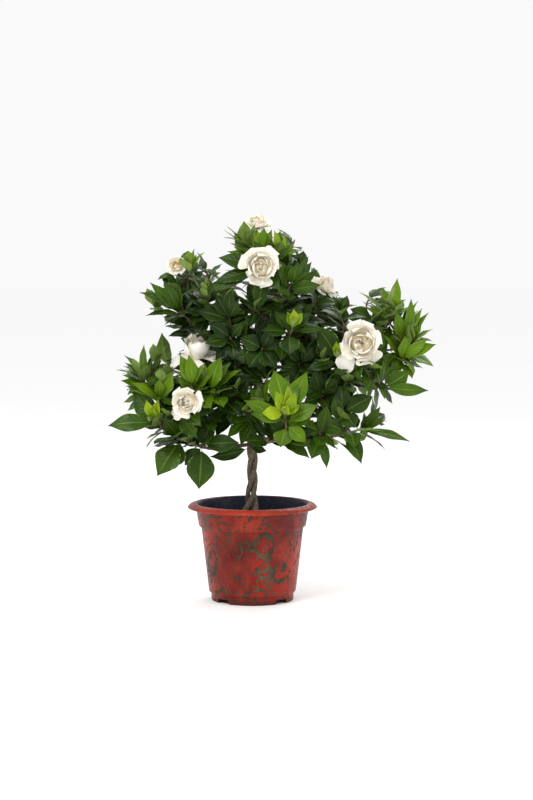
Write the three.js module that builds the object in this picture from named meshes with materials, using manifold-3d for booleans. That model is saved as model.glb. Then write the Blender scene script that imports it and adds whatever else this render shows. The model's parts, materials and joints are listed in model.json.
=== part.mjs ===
// Potted gardenia: a nursery pot, its soil, braided stems, leafy sprays and double white blooms.
// Millimetres, +Z up, origin on the ground under the pot's axis, the plant's front towards -Y.
import * as THREE from 'three';
import { mergeVertices } from 'three/addons/utils/BufferGeometryUtils.js';
import Module from 'manifold-3d';

const wasm = await Module();
wasm.setup();

// Driving dimensions
const rimRadius = 90;
const potHeight = 135;
const wall = 2;
const potSides = 32;
const gap = 0.35;
const strandRadius = 3.3;
const limbRadius = 2.2;
const twigRadius = 1.8;
const leafThick = 1.3;
const petalThick = 1.1;
const rootHalf = 0.5;
const seed = 20;

// Corners closer than this are one corner
const weldReach = 1e-3;

// Colours
const colours = {
  pot: '#9a4038',
  soil: '#2b211a',
  stems: '#6f6150',
  leaf: '#2c4f1e',
  fresh: '#5f8a26',
  young: '#87a934',
  bloom: '#f3ebd6',
};

const vec = (list) => new THREE.Vector3(...list);
const degrees = (angle) => THREE.MathUtils.degToRad(angle);

// A seeded stream of numbers between 0 and 1
function randomStream(start) {
  let state = start;
  return () => {
    state = (state + 0x6d2b79f5) | 0;
    let mixed = Math.imul(state ^ (state >>> 15), 1 | state);
    mixed = (mixed + Math.imul(mixed ^ (mixed >>> 7), 61 | mixed)) ^ mixed;
    return ((mixed ^ (mixed >>> 14)) >>> 0) / 4294967296;
  };
}

// Solids

function solidOf(geometry) {
  const plain = geometry.clone();
  plain.deleteAttribute('normal');
  plain.deleteAttribute('uv');
  const merged = mergeVertices(plain, weldReach);
  const vertProperties = new Float32Array(merged.attributes.position.array);
  const triVerts = new Uint32Array(merged.index.array);
  return new wasm.Manifold(new wasm.Mesh({ numProp: 3, vertProperties, triVerts }));
}

// Faces on a grid: those that shrink to a line there are dropped, and so are pairs lying back to back
function facesOnGrid(mesh, grid) {
  const onGrid = Array.from(mesh.vertProperties, (value) => Math.round(value / grid) * grid);
  const geometry = new THREE.BufferGeometry();
  geometry.setAttribute('position', new THREE.Float32BufferAttribute(onGrid, 3));
  geometry.setIndex(Array.from(mesh.triVerts));
  const merged = mergeVertices(geometry, grid / 4);
  const corners = Array.from(merged.index.array);
  const faces = new Map();
  for (let start = 0; start < corners.length; start += 3) {
    const face = corners.slice(start, start + 3);
    const key = [...face].sort((one, other) => one - other).join(' ');
    if (new Set(face).size < 3) continue;
    if (faces.has(key)) faces.delete(key);
    else faces.set(key, face);
  }
  merged.setIndex([...faces.values()].flat());
  return merged;
}

function everyEdgeIsShared(geometry) {
  const corners = geometry.index.array;
  const uses = new Map();
  for (let start = 0; start < corners.length; start += 3) {
    for (let side = 0; side < 3; side += 1) {
      const pair = [corners[start + side], corners[start + ((side + 1) % 3)]];
      const key = pair.sort((one, other) => one - other).join(' ');
      uses.set(key, (uses.get(key) ?? 0) + 1);
    }
  }
  return [...uses.values()].every((count) => count === 2);
}

// The solid as a geometry on the first grid that leaves it closed, so that no two corners all but meet
const grids = [0.001, 0.0015, 0.002, 0.003, 0.005];

function geometryOf(solid) {
  const mesh = solid.getMesh();
  const geometries = grids.map((grid) => facesOnGrid(mesh, grid));
  return geometries.find(everyEdgeIsShared);
}

function joined(geometries) {
  return geometries.map(solidOf).reduce((sum, next) => sum.add(next));
}

// A round bar with flat sides along a curve
function bar(curve, radius, sides, steps) {
  const section = new THREE.Shape();
  for (let side = 0; side < sides; side += 1) {
    const turn = (2 * Math.PI * side) / sides;
    const point = [radius * Math.cos(turn), radius * Math.sin(turn)];
    if (side === 0) section.moveTo(...point);
    else section.lineTo(...point);
  }
  return new THREE.ExtrudeGeometry(section, { steps, bevelEnabled: false, extrudePath: curve });
}

// A turned piece stood on a point along a direction
function turned(profile, sides, place, direction) {
  const points = profile.map(([radius, height]) => new THREE.Vector2(radius, height));
  const geometry = new THREE.LatheGeometry(points, sides);
  const stand = new THREE.Quaternion().setFromUnitVectors(vec([0, 1, 0]), direction);
  geometry.applyQuaternion(stand);
  geometry.translate(place.x, place.y, place.z);
  return geometry;
}

// A blade is a thin wedge from its root to its tip, bowed towards its face. It starts as a short upright
// edge. Further out its two edges lie in one surface and its midrib stands thick above it, or below it where
// thick is negative. outline lists [place along the blade, share of the half width]; grow makes it larger
// all round, and from leaves its root end out.
function blade(spec, grow = 0, from = 0) {
  const { root, tip, face, width, arch, lean, twist, outline, thick } = spec;
  const run = tip.clone().sub(root);
  const length = run.length();
  const across = face.clone().addScaledVector(run, -face.dot(run) / (length * length)).normalize();
  across.applyAxisAngle(run.clone().normalize(), lean);
  const reach = tip.clone().addScaledVector(run, grow / length);
  const bend = root.clone().lerp(tip, 0.5).addScaledVector(across, 2 * arch * length);
  const spine = new THREE.QuadraticBezierCurve3(root, bend, reach);
  const start = spine.getPoint(from);
  const points = [rootHalf, -rootHalf].map((rise) => start.clone().addScaledVector(across, rise));
  for (const [place, share] of outline) {
    const centre = spine.getPoint(place);
    const forward = spine.getTangent(place);
    const side = across.clone().cross(forward).normalize().applyAxisAngle(forward, twist * place);
    const up = forward.clone().cross(side).normalize();
    const half = (share * width) / 2 + grow;
    const edge = -Math.sign(thick) * grow;
    points.push(centre.clone().addScaledVector(side, half).addScaledVector(up, edge));
    points.push(centre.clone().addScaledVector(up, thick - edge));
    points.push(centre.clone().addScaledVector(side, -half).addScaledVector(up, edge));
  }
  points.push(reach);
  const [upper, under] = thick > 0 ? [0, 1] : [1, 0];
  const faces = [[upper, 3, 2], [upper, 4, 3], [under, 2, 4], [upper, 2, under], [under, 4, upper]];
  const end = points.length - 1;
  for (let left = 2; left < end; left += 3) {
    const [ridge, right, next] = [left + 1, left + 2, left + 3];
    if (next === end) {
      faces.push([ridge, end, left], [right, end, ridge], [left, end, right]);
    } else {
      faces.push([ridge, next + 1, next], [ridge, next, left]);
      faces.push([right, next + 2, next + 1], [right, next + 1, ridge]);
      faces.push([right, next, next + 2], [right, left, next]);
    }
  }
  if (thick < 0) faces.forEach((face) => face.reverse());
  const geometry = new THREE.BufferGeometry();
  geometry.setAttribute('position', new THREE.Float32BufferAttribute(points.flatMap((p) => p.toArray()), 3));
  geometry.setIndex(faces.flat());
  return geometry;
}

// Clearance between pieces that belong to different nodes

function soup(geometry) {
  const plain = geometry.index ? geometry.toNonIndexed() : geometry;
  const tris = plain.attributes.position.array;
  const box = new THREE.Box3().setFromArray(tris);
  return { tris, box };
}

// Cuts a long soup into short runs, so that far ones are passed over quickly
const runLength = 16;

function runsOf(whole) {
  const runs = [];
  for (let start = 0; start < whole.tris.length; start += 9 * runLength) {
    const tris = whole.tris.slice(start, start + 9 * runLength);
    runs.push({ tris, box: new THREE.Box3().setFromArray(tris) });
  }
  return runs;
}

const tiny = 1e-9;

// Whether the line from s at p to s at q passes through the triangle of t at a
function segmentHits(t, a, s, p, q) {
  const ex = t[a + 3] - t[a];
  const ey = t[a + 4] - t[a + 1];
  const ez = t[a + 5] - t[a + 2];
  const fx = t[a + 6] - t[a];
  const fy = t[a + 7] - t[a + 1];
  const fz = t[a + 8] - t[a + 2];
  const dx = s[q] - s[p];
  const dy = s[q + 1] - s[p + 1];
  const dz = s[q + 2] - s[p + 2];
  const px = dy * fz - dz * fy;
  const py = dz * fx - dx * fz;
  const pz = dx * fy - dy * fx;
  const det = ex * px + ey * py + ez * pz;
  if (Math.abs(det) < tiny) return false;
  const ox = s[p] - t[a];
  const oy = s[p + 1] - t[a + 1];
  const oz = s[p + 2] - t[a + 2];
  const u = (ox * px + oy * py + oz * pz) / det;
  if (u < 0 || u > 1) return false;
  const qx = oy * ez - oz * ey;
  const qy = oz * ex - ox * ez;
  const qz = ox * ey - oy * ex;
  const v = (dx * qx + dy * qy + dz * qz) / det;
  if (v < 0 || u + v > 1) return false;
  const w = (fx * qx + fy * qy + fz * qz) / det;
  return w >= 0 && w <= 1;
}

function edgesHit(facesOf, edgesOf) {
  for (let a = 0; a < facesOf.length; a += 9) {
    for (let s = 0; s < edgesOf.length; s += 9) {
      if (segmentHits(facesOf, a, edgesOf, s, s + 3)) return true;
      if (segmentHits(facesOf, a, edgesOf, s + 3, s + 6)) return true;
      if (segmentHits(facesOf, a, edgesOf, s + 6, s)) return true;
    }
  }
  return false;
}

function crosses(one, other) {
  if (!one.box.intersectsBox(other.box)) return false;
  return edgesHit(one.tris, other.tris) || edgesHit(other.tris, one.tris);
}

const placed = [];

// Tells whether a piece clears every piece already placed by other nodes, and the leaves of its own
function isClear(piece, owner) {
  return placed.every((other) => {
    if (other.owner !== owner) return !crosses(piece.grown, other.whole);
    return !piece.outer || !crosses(piece.outer, other.outer);
  });
}

function keep(geometry, owner) {
  for (const whole of runsOf(soup(geometry))) placed.push({ owner, whole, outer: whole });
}

// Pot
const footRadius = 57;
const notch = { count: 4, width: 20, height: 6, depth: 16, firstTurn: 45 };

function makePot() {
  const profile = [
    [0, 0], [footRadius - 1, 0], [footRadius, 1], [footRadius, 10.5], [60.2, 12.5], [70.8, 101.7],
    [73.8, 103.2], [74.7, 106.5], [78.3, 127.4], [88.6, 128.2], [rimRadius, 129.6],
    [86.5, 133.2], [81.6, potHeight], [77.5, potHeight], [75.2, 132.5], [74.7 - wall - 0.4, 106.5],
    [70.8 - wall, 101.2], [60.2 - wall, 14.2], [footRadius - wall, 11.5], [footRadius - wall, 3], [0, 3],
  ];
  const points = profile.map(([radius, height]) => new THREE.Vector2(radius, height));
  const body = new THREE.LatheGeometry(points, potSides);
  body.rotateX(Math.PI / 2);
  let pot = solidOf(body);
  for (let index = 0; index < notch.count; index += 1) {
    const cutter = new THREE.BoxGeometry(notch.depth, notch.width, 2 * notch.height);
    cutter.translate(footRadius - 1, 0, 0);
    cutter.rotateZ(degrees(notch.firstTurn + (360 / notch.count) * index));
    pot = pot.subtract(solidOf(cutter));
  }
  return geometryOf(pot);
}

// Stems: three strands twisted about each other, then spreading into limbs
const soilTop = 114;
const strandFeet = 96;
const strand = {
  sides: 5, steps: 15, fork: 240, pointStep: 9, firstTurn: 200, turnHeight: 95, upright: 8, lean: 3,
  spread: 4.2, flare: 5, flareHeight: 14, pinch: 1.3, pinchAt: 222, pinchHeight: 9,
};

// A strand's centre line: upright in the soil, then winding about the others up to its end. The three
// spread at the soil and draw together where they fork.
function strandCurve(index, end) {
  const points = [];
  for (let height = strandFeet; height < strand.fork; height += strand.pointStep) {
    const above = Math.max(0, height - soilTop - strand.upright);
    const turn = degrees(120 * index + strand.firstTurn + (360 * above) / strand.turnHeight);
    const flare = strand.flare * Math.exp(-above / strand.flareHeight);
    const pinch = strand.pinch * Math.exp(-(((height - strand.pinchAt) / strand.pinchHeight) ** 2));
    const spread = strand.spread + flare - pinch;
    const lean = strand.lean * (Math.sin((above / (strand.fork - soilTop)) * Math.PI) - 1);
    points.push(vec([spread * Math.cos(turn) + lean, spread * Math.sin(turn), height]));
  }
  return new THREE.CatmullRomCurve3([...points, vec(end)], false, 'centripetal');
}

const strands = {
  leftStrand: strandCurve(0, [-5, 7, 254]),
  middleStrand: strandCurve(1, [4, 1, 258]),
  rightStrand: strandCurve(2, [12, 5, 252]),
};

const limb = { sides: 4, steps: 6 };

function limbCurve(points) {
  return new THREE.CatmullRomCurve3(points.map(vec), false, 'centripetal');
}

const limbs = {
  left: limbCurve([
    [-3, 6, 246], [-18, 18, 275], [-40, 28, 305], [-60, 32, 335], [-76, 24, 365], [-89, 4, 390],
  ]),
  middle: limbCurve([[4, 1, 250], [4, 2, 300], [4, 2, 345], [6, 2, 390], [12, 2, 430], [14, -2, 452]]),
  right: limbCurve([[9, 5, 246], [42, 12, 282], [84, 16, 315], [125, 8, 345], [165, 2, 362], [190, 0, 385]]),
  lowLeft: limbCurve([
    [-3, 0, 216], [-22, -14, 215], [-44, -32, 213], [-68, -44, 217], [-98, -52, 230], [-122, -52, 243],
  ]),
  lowRight: limbCurve([
    [4, 0, 222], [24, -22, 226], [56, -44, 226], [90, -54, 228], [120, -46, 234], [141, -34, 238],
  ]),
  front: limbCurve([[3, -1, 218], [10, -32, 221], [24, -66, 226], [38, -94, 233], [44, -106, 240]]),
  midLeft: limbCurve([[-2, 3, 240], [-20, -12, 262], [-40, -34, 280], [-56, -52, 288]]),
  backLeft: limbCurve([[0, 5, 232], [-22, 45, 262], [-46, 82, 310], [-60, 100, 350]]),
  backRight: limbCurve([[4, 5, 236], [34, 48, 272], [66, 84, 322], [84, 98, 372]]),
  backLow: limbCurve([[1, 4, 222], [3, 48, 242], [0, 88, 272], [-4, 108, 296]]),
  upperRight: limbCurve([[44, 12, 284], [66, 22, 330], [78, 26, 370], [88, 34, 402]]),
  innerRight: limbCurve([[4, 2, 362], [20, -10, 385], [38, -24, 408], [50, -30, 430]]),
  backTop: limbCurve([[6, 3, 385], [2, 18, 420], [0, 32, 455], [4, 40, 488]]),
  midRight: limbCurve([[84, 16, 315], [104, -8, 314], [122, -28, 316], [136, -36, 328]]),
};

function makeStems() {
  const parts = [];
  for (const curve of Object.values(strands)) {
    parts.push(bar(curve, strandRadius, strand.sides, strand.steps));
  }
  for (const curve of Object.values(limbs)) parts.push(bar(curve, limbRadius, limb.sides, limb.steps));
  for (const part of parts) keep(part, 'stems');
  return geometryOf(joined(parts));
}

// Soil, with a plain upright hole for each strand
const hole = { sides: 10, clearance: 0.5, height: 40 };

function makeSoil() {
  const profile = [
    [0, 3 + gap], [55 - gap, 3 + gap], [55 - gap, 11.7], [58.2 - gap, 14.5], [68.8 - gap, 101.4],
    [72.3 - gap, 106.8], [72.9 - gap, 110.5], [0, soilTop],
  ];
  const points = profile.map(([radius, height]) => new THREE.Vector2(radius, height));
  const body = new THREE.LatheGeometry(points, potSides);
  body.rotateX(Math.PI / 2);
  let soil = solidOf(body);
  const radius = strandRadius + hole.clearance;
  for (const curve of Object.values(strands)) {
    const foot = curve.getPoint(0);
    const cutter = new THREE.CylinderGeometry(radius, radius, hole.height, hole.sides);
    cutter.rotateX(Math.PI / 2);
    cutter.translate(foot.x, foot.y, strandFeet - gap + hole.height / 2);
    soil = soil.subtract(solidOf(cutter));
  }
  return geometryOf(soil);
}

// Blooms: whorls of petals about a short core
const petalOutline = [[0.42, 0.86], [0.86, 0.88]];
const whorls = {
  open: [
    { count: 6, out: 1, rise: 0.36, width: 0.84, arch: 0.1 },
    { count: 3, out: 0.6, rise: 0.8, width: 0.84, arch: -0.12 },
    { count: 2, out: 0.22, rise: 0.96, width: 0.42, arch: -0.16 },
  ],
  small: [
    { count: 5, out: 1, rise: 0.4, width: 0.95, arch: 0.1 },
    { count: 4, out: 0.55, rise: 0.85, width: 0.7, arch: -0.12 },
  ],
  bud: [
    { count: 5, out: 0.95, rise: 0.9, width: 0.9, arch: -0.16 },
    { count: 3, out: 0.4, rise: 1.25, width: 0.6, arch: -0.16 },
  ],
  cup: [
    { count: 5, out: 1.05, rise: -0.05, width: 0.85, arch: 0.14 },
    { count: 5, out: 0.4, rise: 0.92, width: 0.6, arch: -0.2 },
  ],
};

const blooms = [
  { name: 'bloom_front', at: [11, -52, 462], facing: [0.06, -0.97, 0.1], size: 27, kind: 'open', roll: 20 },
  { name: 'bloom_right', at: [147, -62, 360], facing: [-0.12, -0.96, 0.12],
    size: 31, kind: 'open', roll: 50 },
  { name: 'bloom_left', at: [-88, -88, 282], facing: [-0.2, -0.95, 0.1], size: 23, kind: 'open', roll: 10 },
  { name: 'bloom_side', at: [-76, -24, 349], facing: [-0.05, -0.3, 0.95], size: 32, kind: 'cup', roll: 0 },
  { name: 'bloom_top', at: [6, 40, 521], facing: [0, -0.5, 0.86], size: 18, kind: 'small', roll: 30 },
  { name: 'bloom_back', at: [101, 50, 434], facing: [0.55, -0.4, 0.73], size: 20, kind: 'small', roll: 0 },
  { name: 'bloom_upper_left', at: [-104, -2, 462], facing: [-0.1, -0.85, 0.5],
    size: 14, kind: 'bud', roll: 0 },
];

// A bloom's core, as shares of the bloom's size and in millimetres
const core = { depth: 0.45, height: 0.55, radius: 3.2, shoulder: 7, sides: 5 };
const petalRoot = { rise: 1.5, riseEach: 2, out: 0.8 };
const petalLean = 18;
const petalTurn = 25;
const petalCant = 0.6;
const calyxLength = 7;

// A direction square to the one given, level where that is possible
function eastOf(direction) {
  const level = Math.abs(direction.z) > 0.9 ? vec([1, 0, 0]) : vec([0, 0, 1]);
  return level.cross(direction).normalize();
}

// The point where a bloom's core ends at the back, on the line of its stalk
function bloomBack(bloom) {
  const facing = vec(bloom.facing).normalize();
  return vec(bloom.at).addScaledVector(facing, -bloom.size * core.depth);
}

function makeBloom(bloom) {
  const facing = vec(bloom.facing).normalize();
  const back = bloomBack(bloom);
  const east = eastOf(facing);
  const profile = [[0, 0], [core.radius, 0], [core.radius, core.shoulder], [0, bloom.size * core.height]];
  const parts = [turned(profile, core.sides, back, facing)];
  whorls[bloom.kind].forEach((whorl, level) => {
    for (let petal = 0; petal < whorl.count; petal += 1) {
      const angle = degrees(bloom.roll + petalTurn * level + (360 * petal) / whorl.count);
      const outward = east.clone().applyAxisAngle(facing, angle);
      const root = back.clone().addScaledVector(facing, petalRoot.rise + petalRoot.riseEach * level);
      root.addScaledVector(outward, petalRoot.out);
      const tip = back.clone().addScaledVector(outward, bloom.size * whorl.out);
      tip.addScaledVector(facing, bloom.size * whorl.rise);
      const face = facing.clone().addScaledVector(outward, -petalCant);
      parts.push(blade({
        root, tip, face, width: bloom.size * whorl.width, arch: whorl.arch, lean: degrees(petalLean),
        twist: 0, outline: petalOutline, thick: -petalThick,
      }));
    }
  });
  for (const part of parts) keep(part, bloom.name);
  return geometryOf(joined(parts));
}

// Leafy sprays. at is the middle of the spray's rosette, aim the way its shoot points, tips the large
// leaves' tips from there as [x, y, z] with a width where it isn't the usual share of the length.
const usualReach = 48;
const usualWidth = 0.45;
const broader = 1.12;
const sprays = [
  { name: 'spray_top', at: [8, -3, 470], aim: [-0.2, -0.4, 1],
    tips: [[-33, 0, 38, 20], [-17, -8, 32, 18], [-2, 4, 42, 17], [19, 14, 42, 15], [-42, -2, 12, 16]],
    fill: 1,
    fresh: true, reach: 40 },
  { name: 'spray_top_right', on: 'spray_top', at: [34, -5, 473], aim: [0.2, -0.5, 1],
    tips: [[-22, -9, 38, 16], [4, 4, 38, 15], [14, -8, 28, 16], [24, 6, 20, 14], [36, 10, 10, 12],
      [28, -4, -8, 18]], fill: 0 },
  { name: 'spray_front', at: [-2, -22, 436], aim: [0, -0.8, 0.5], bloom: 'bloom_front',
    tips: [[-44, -6, 38, 21], [-50, -8, 4, 18], [-60, -4, -10, 15], [10, -14, -34, 18]], fill: 2 },
  { name: 'spray_upper_right', at: [54, -35, 440], aim: [0.3, -0.7, 0.6],
    tips: [[18, 5, 36, 16], [7, -14, 28, 18], [-5, -12, 27, 15], [27, 8, 28, 12], [35, 2, 18, 14],
      [39, -12, -2, 16], [-18, 0, 8, 14], [-4, -10, -24, 17]], fill: 2 },
  { name: 'spray_right_shoulder', at: [84, -2, 408], aim: [0.7, -0.4, 0.5],
    tips: [[36, 0, 3, 18], [32, -10, -8, 18], [22, 15, 12, 16], [42, -10, -34, 17], [-40, -6, 8, 16]],
    fill: 3 },
  { name: 'spray_back_bloom', at: [90, 42, 412], aim: [0.4, 0.2, 0.9], bloom: 'bloom_back',
    tips: [], fill: 4, reach: 44 },
  { name: 'spray_back_top', at: [4, 44, 494], aim: [0, 0.1, 1], bloom: 'bloom_top',
    tips: [[-26, 8, 14, 16], [28, 6, 6, 15], [-14, 22, 6, 15], [16, 24, 8, 15]], fill: 0 },
  { name: 'spray_middle_right', at: [54, -55, 378], aim: [0.1, -0.7, 0.7],
    tips: [[-3, -8, -34, 24], [-42, -5, -2, 19], [46, -5, 0, 12], [-24, 6, 24, 16], [24, 8, 22, 15]],
    fill: 2 },
  { name: 'spray_left_shoulder', at: [-100, -12, 400], aim: [-0.4, -0.5, 0.8],
    tips: [[-40, -8, 40, 14], [-19, -15, 42, 15], [1, -14, 38, 17], [22, -10, 16, 18], [-55, 2, 26, 15],
      [-46, -4, -6, 13], [-20, -6, -18, 14]], fill: 2 },
  { name: 'spray_upper_left', at: [-98, 5, 447], aim: [-0.1, -0.4, 1], bloom: 'bloom_upper_left',
    tips: [[10, -6, 36, 13], [27, 4, 28, 15], [20, -12, 2, 12], [-32, -5, -4, 15], [28, 6, -10, 14]],
    fill: 1, reach: 34 },
  { name: 'spray_left_inner', at: [-62, -6, 412], aim: [0.1, -0.4, 1],
    tips: [[-24, -4, 14, 15], [14, -10, 14, 17], [30, -4, -6, 14], [-20, -14, -20, 15]], fill: 2 },
  { name: 'spray_side_bloom', at: [-86, -20, 322], aim: [-0.3, -0.4, 0.8], bloom: 'bloom_side',
    tips: [[-22, 18, 42, 22], [-34, 10, 10, 18], [26, 22, 22, 16]], fill: 2 },
  { name: 'spray_front_left', at: [-82, -75, 302], aim: [0, -0.3, 1], fresh: true,
    tips: [[-15, -6, 42, 17], [-3, 0, 43, 15], [19, -5, 32, 11], [-24, 6, 22, 14]], fill: 1 },
  { name: 'spray_front_centre', at: [-56, -70, 294], aim: [0.2, -0.3, 1], fresh: true,
    tips: [[15, -8, 48, 22], [28, 0, 40, 18], [42, 2, 30, 17], [-14, -4, 36, 10], [30, -14, 6, 18]],
    fill: 1 },
  { name: 'spray_left_bloom', at: [-84, -52, 280], aim: [-0.2, -0.7, 0.4], bloom: 'bloom_left',
    tips: [[34, -8, -14, 18], [22, 0, -26, 18], [-26, 8, 18, 16], [-10, -4, -34, 17], [10, 14, 26, 16]],
    fill: 2 },
  { name: 'spray_far_left', at: [-146, -10, 307], aim: [-0.5, -0.3, 0.9], fresh: true,
    tips: [[-3, -2, 47, 13], [18, 8, 50, 20], [28, 13, 46, 12], [-30, -4, 33, 11], [-31, -10, 18, 13],
      [-33, 5, 5, 12], [-34, -6, -1, 13], [10, -14, 30, 16]], fill: 1 },
  { name: 'spray_left_fresh', at: [-127, -47, 284], aim: [0, -0.6, 0.9], fresh: true,
    tips: [[-37, -6, 21, 14], [19, 0, 36, 23], [2, -12, 28, 12], [-14, 12, 24, 14]], fill: 1 },
  { name: 'spray_low_left', at: [-131, -50, 251], aim: [-0.4, -0.8, 0.5],
    tips: [[-29, 2, 40, 26], [-65, -2, -5, 23], [22, 6, 22, 16]], fill: 1 },
  { name: 'spray_hanging_left', at: [-98, -60, 228], aim: [-0.3, -0.8, 0.2],
    tips: [[-30, -8, -48, 34], [-8, 10, -38, 26], [10, 6, 26, 16]], fill: 1 },
  { name: 'spray_hanging_centre', at: [-70, -58, 222], aim: [0.1, -0.9, 0.3],
    tips: [[-2, -8, -60, 33], [53, -8, 3, 21], [16, 10, 30, 17], [-22, 14, -30, 20]], fill: 1 },
  { name: 'spray_trunk', at: [-4, -16, 213], aim: [-0.1, -0.95, 0.25],
    tips: [[-54, -14, -10, 19], [24, -6, -4, 10]], fill: 1 },
  { name: 'spray_centre', at: [44, -108, 266], aim: [0, -0.8, 0.5], fresh: true,
    tips: [[-15, 8, 58, 28], [30, 12, 56, 22], [19, -4, 40, 15], [-55, -2, 20, 19], [-46, -14, 3, 17],
      [44, -6, 14, 20], [-6, -8, -42, 22], [28, -8, -36, 17]], fill: 0 },
  { name: 'spray_low_middle', at: [92, -68, 242], aim: [0.2, -0.6, 0.5],
    tips: [[-12, -8, -38, 22], [9, 2, -52, 12], [20, 6, -25, 9], [-22, -12, 8, 20], [32, -6, -2, 12]],
    fill: 2 },
  { name: 'spray_low_right', at: [150, -30, 241], aim: [0.6, -0.4, 0.5],
    tips: [[25, 0, 30, 12], [2, -8, 24, 13], [32, 5, 18, 9], [66, -4, -18, 15], [-12, 6, 22, 14]], fill: 1 },
  { name: 'spray_hanging_right', at: [124, -44, 238], aim: [0.2, -0.8, 0.4],
    tips: [[26, -6, -46, 20], [-24, -6, 14, 22]], fill: 1 },
  { name: 'spray_right_dark', at: [124, -46, 268], aim: [0.3, -0.8, 0.4],
    tips: [[40, 2, 18, 23], [16, -8, -24, 24], [-6, -10, 34, 20], [-34, -4, 12, 20]], fill: 2 },
  { name: 'spray_right_low', at: [182, -36, 296], aim: [0.6, -0.5, 0.4],
    tips: [[32, -6, 24, 22], [58, -4, -2, 16], [-2, -4, -14, 9], [-4, -8, 42, 16], [16, -2, 38, 14],
      [-14, -14, 24, 15]], fill: 2 },
  { name: 'spray_right_bloom', at: [156, -28, 346], aim: [0, -0.9, 0.2], bloom: 'bloom_right',
    tips: [[34, 6, 18, 18], [-8, 8, 46, 18], [30, -6, -24, 18]], fill: 3 },
  { name: 'spray_right_inner', at: [118, -42, 336], aim: [-0.2, -0.7, 0.6],
    tips: [[-30, 0, 46, 25], [-14, -8, 28, 14], [-44, -2, -14, 16], [4, -14, -22, 18], [-8, 10, -34, 16]],
    fill: 2 },
  { name: 'spray_right_back', at: [164, -14, 390], aim: [-0.5, -0.4, 0.5],
    tips: [[-30, -2, 14, 18], [-37, 4, 2, 16], [-20, -10, -6, 12]], fill: 2 },
  { name: 'spray_right_top', at: [191, 0, 393], aim: [0, -0.2, 1], fresh: true,
    tips: [[-12, -5, 40, 14], [9, -2, 52, 14], [-44, 2, 33, 13], [-34, -5, 20, 12], [-36, -10, 12, 12],
      [18, -5, 22, 13], [-2, -12, 30, 12]], fill: 1 },
  { name: 'spray_far_right', at: [214, -6, 362], aim: [0.3, -0.3, 1], fresh: true,
    tips: [[4, -4, 56, 14], [15, 9, 52, 9], [20, 5, 42, 9], [30, -6, 36, 11], [-18, -6, 38, 18],
      [11, -14, 24, 14]], fill: 1 },
  { name: 'spray_right_fresh', on: 'spray_far_right', at: [205, -26, 332], aim: [0.4, -0.7, 0.6], fresh: true,
    tips: [[46, -2, 24, 15], [34, -6, 32, 13], [3, -8, 36, 18], [-26, -4, 36, 14], [-14, -8, -16, 14]],
    fill: 1 },
  { name: 'spray_middle', at: [14, -48, 352], aim: [0.1, -0.9, 0.3],
    tips: [[-19, -8, -26, 24], [32, 2, 10, 12], [-30, -4, 14, 20], [14, -6, 26, 14], [20, -8, -28, 16]],
    fill: 2 },
  { name: 'spray_middle_left', at: [-30, -42, 366], aim: [-0.2, -0.8, 0.5],
    tips: [[-26, -4, 18, 18], [-34, -6, -8, 20], [18, -8, 20, 14], [6, -10, -30, 20], [-20, 6, -34, 18]],
    fill: 2 },
  { name: 'spray_left_centre', on: 'spray_middle_left', at: [-32, -30, 396], aim: [-0.2, -0.7, 0.7],
    tips: [[-44, -6, 6, 20], [14, -8, 22, 13], [22, -8, -2, 13], [-18, 4, 26, 17], [4, -8, 34, 16]],
    fill: 1 },
  { name: 'spray_centre_left', at: [-24, -50, 296], aim: [0, -0.9, 0.3],
    tips: [[-22, -6, 28, 22], [22, -6, 20, 22], [-16, -10, -14, 14], [-30, 4, 4, 20], [10, -8, -34, 18]],
    fill: 2 },
  { name: 'spray_inner_right', at: [64, -30, 330], aim: [0.2, -0.8, 0.4],
    tips: [[20, -2, 24, 14], [16, -8, -10, 20], [-12, -8, -30, 20], [-26, -4, 12, 16], [-20, 4, 30, 16]],
    fill: 2 },
  { name: 'spray_inner_low', at: [92, -44, 292], aim: [0, -0.9, 0.3],
    tips: [[-30, -2, 20, 18], [26, 2, 18, 17], [-8, -8, 30, 18], [-22, -6, -14, 16], [18, -8, -20, 18]],
    fill: 1 },
  { name: 'spray_back_left', reach: 56, at: [-66, 112, 366], aim: [-0.4, 0.7, 0.6], tips: [], fill: 7 },
  { name: 'spray_back_right', reach: 56, at: [92, 108, 384], aim: [0.4, 0.7, 0.6], tips: [], fill: 7 },
  { name: 'spray_back_low', reach: 56, at: [-6, 122, 304], aim: [0, 0.9, 0.3], tips: [], fill: 7 },
  { name: 'spray_back_middle', at: [12, 96, 410], aim: [0, 0.6, 0.8], tips: [], fill: 7 },
  { name: 'spray_back_far_left', at: [-118, 64, 318], aim: [-0.7, 0.5, 0.5], tips: [], fill: 7 },
  { name: 'spray_back_far_right', at: [150, 66, 326], aim: [0.7, 0.5, 0.5], tips: [], fill: 7 },
  { name: 'spray_back_upper_left', seat: 1.4, at: [-66, 58, 432], aim: [-0.4, 0.4, 0.9], tips: [], fill: 7 },
];

// Rosettes of young leaves on the ends of some shoots, as tips from the shoot's rosette
const rosettes = {
  spray_top: [[-1, -2, 46, 9], [6, -6, 42, 8]],
  spray_top_right: [[-4, -6, 38, 11], [11, 0, 32, 8]],
  spray_left_inner: [[-6, -4, 24, 7], [0, 0, 26, 7], [10, -2, 22, 10]],
  spray_middle_right: [[-7, -8, 24, 12], [2, -6, 28, 12], [14, -6, 22, 12]],
  spray_low_left: [[-12, -12, 32, 13], [5, -10, 32, 12], [-2, -16, 24, 10]],
  spray_centre: [[-13, -16, 34, 15], [3, -14, 42, 14], [13, -18, 34, 13], [21, -18, 14, 13],
    [-31, -14, 4, 17], [4, -24, 16, 12]],
  spray_right_inner: [[-4, -12, 26, 10], [6, -10, 20, 8]],
};

const random = randomStream(seed);
const leafOutline = [[0.36, 0.92], [0.7, 0.8]];
const petiole = 0.14;
const clearance = 0.45;

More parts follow.
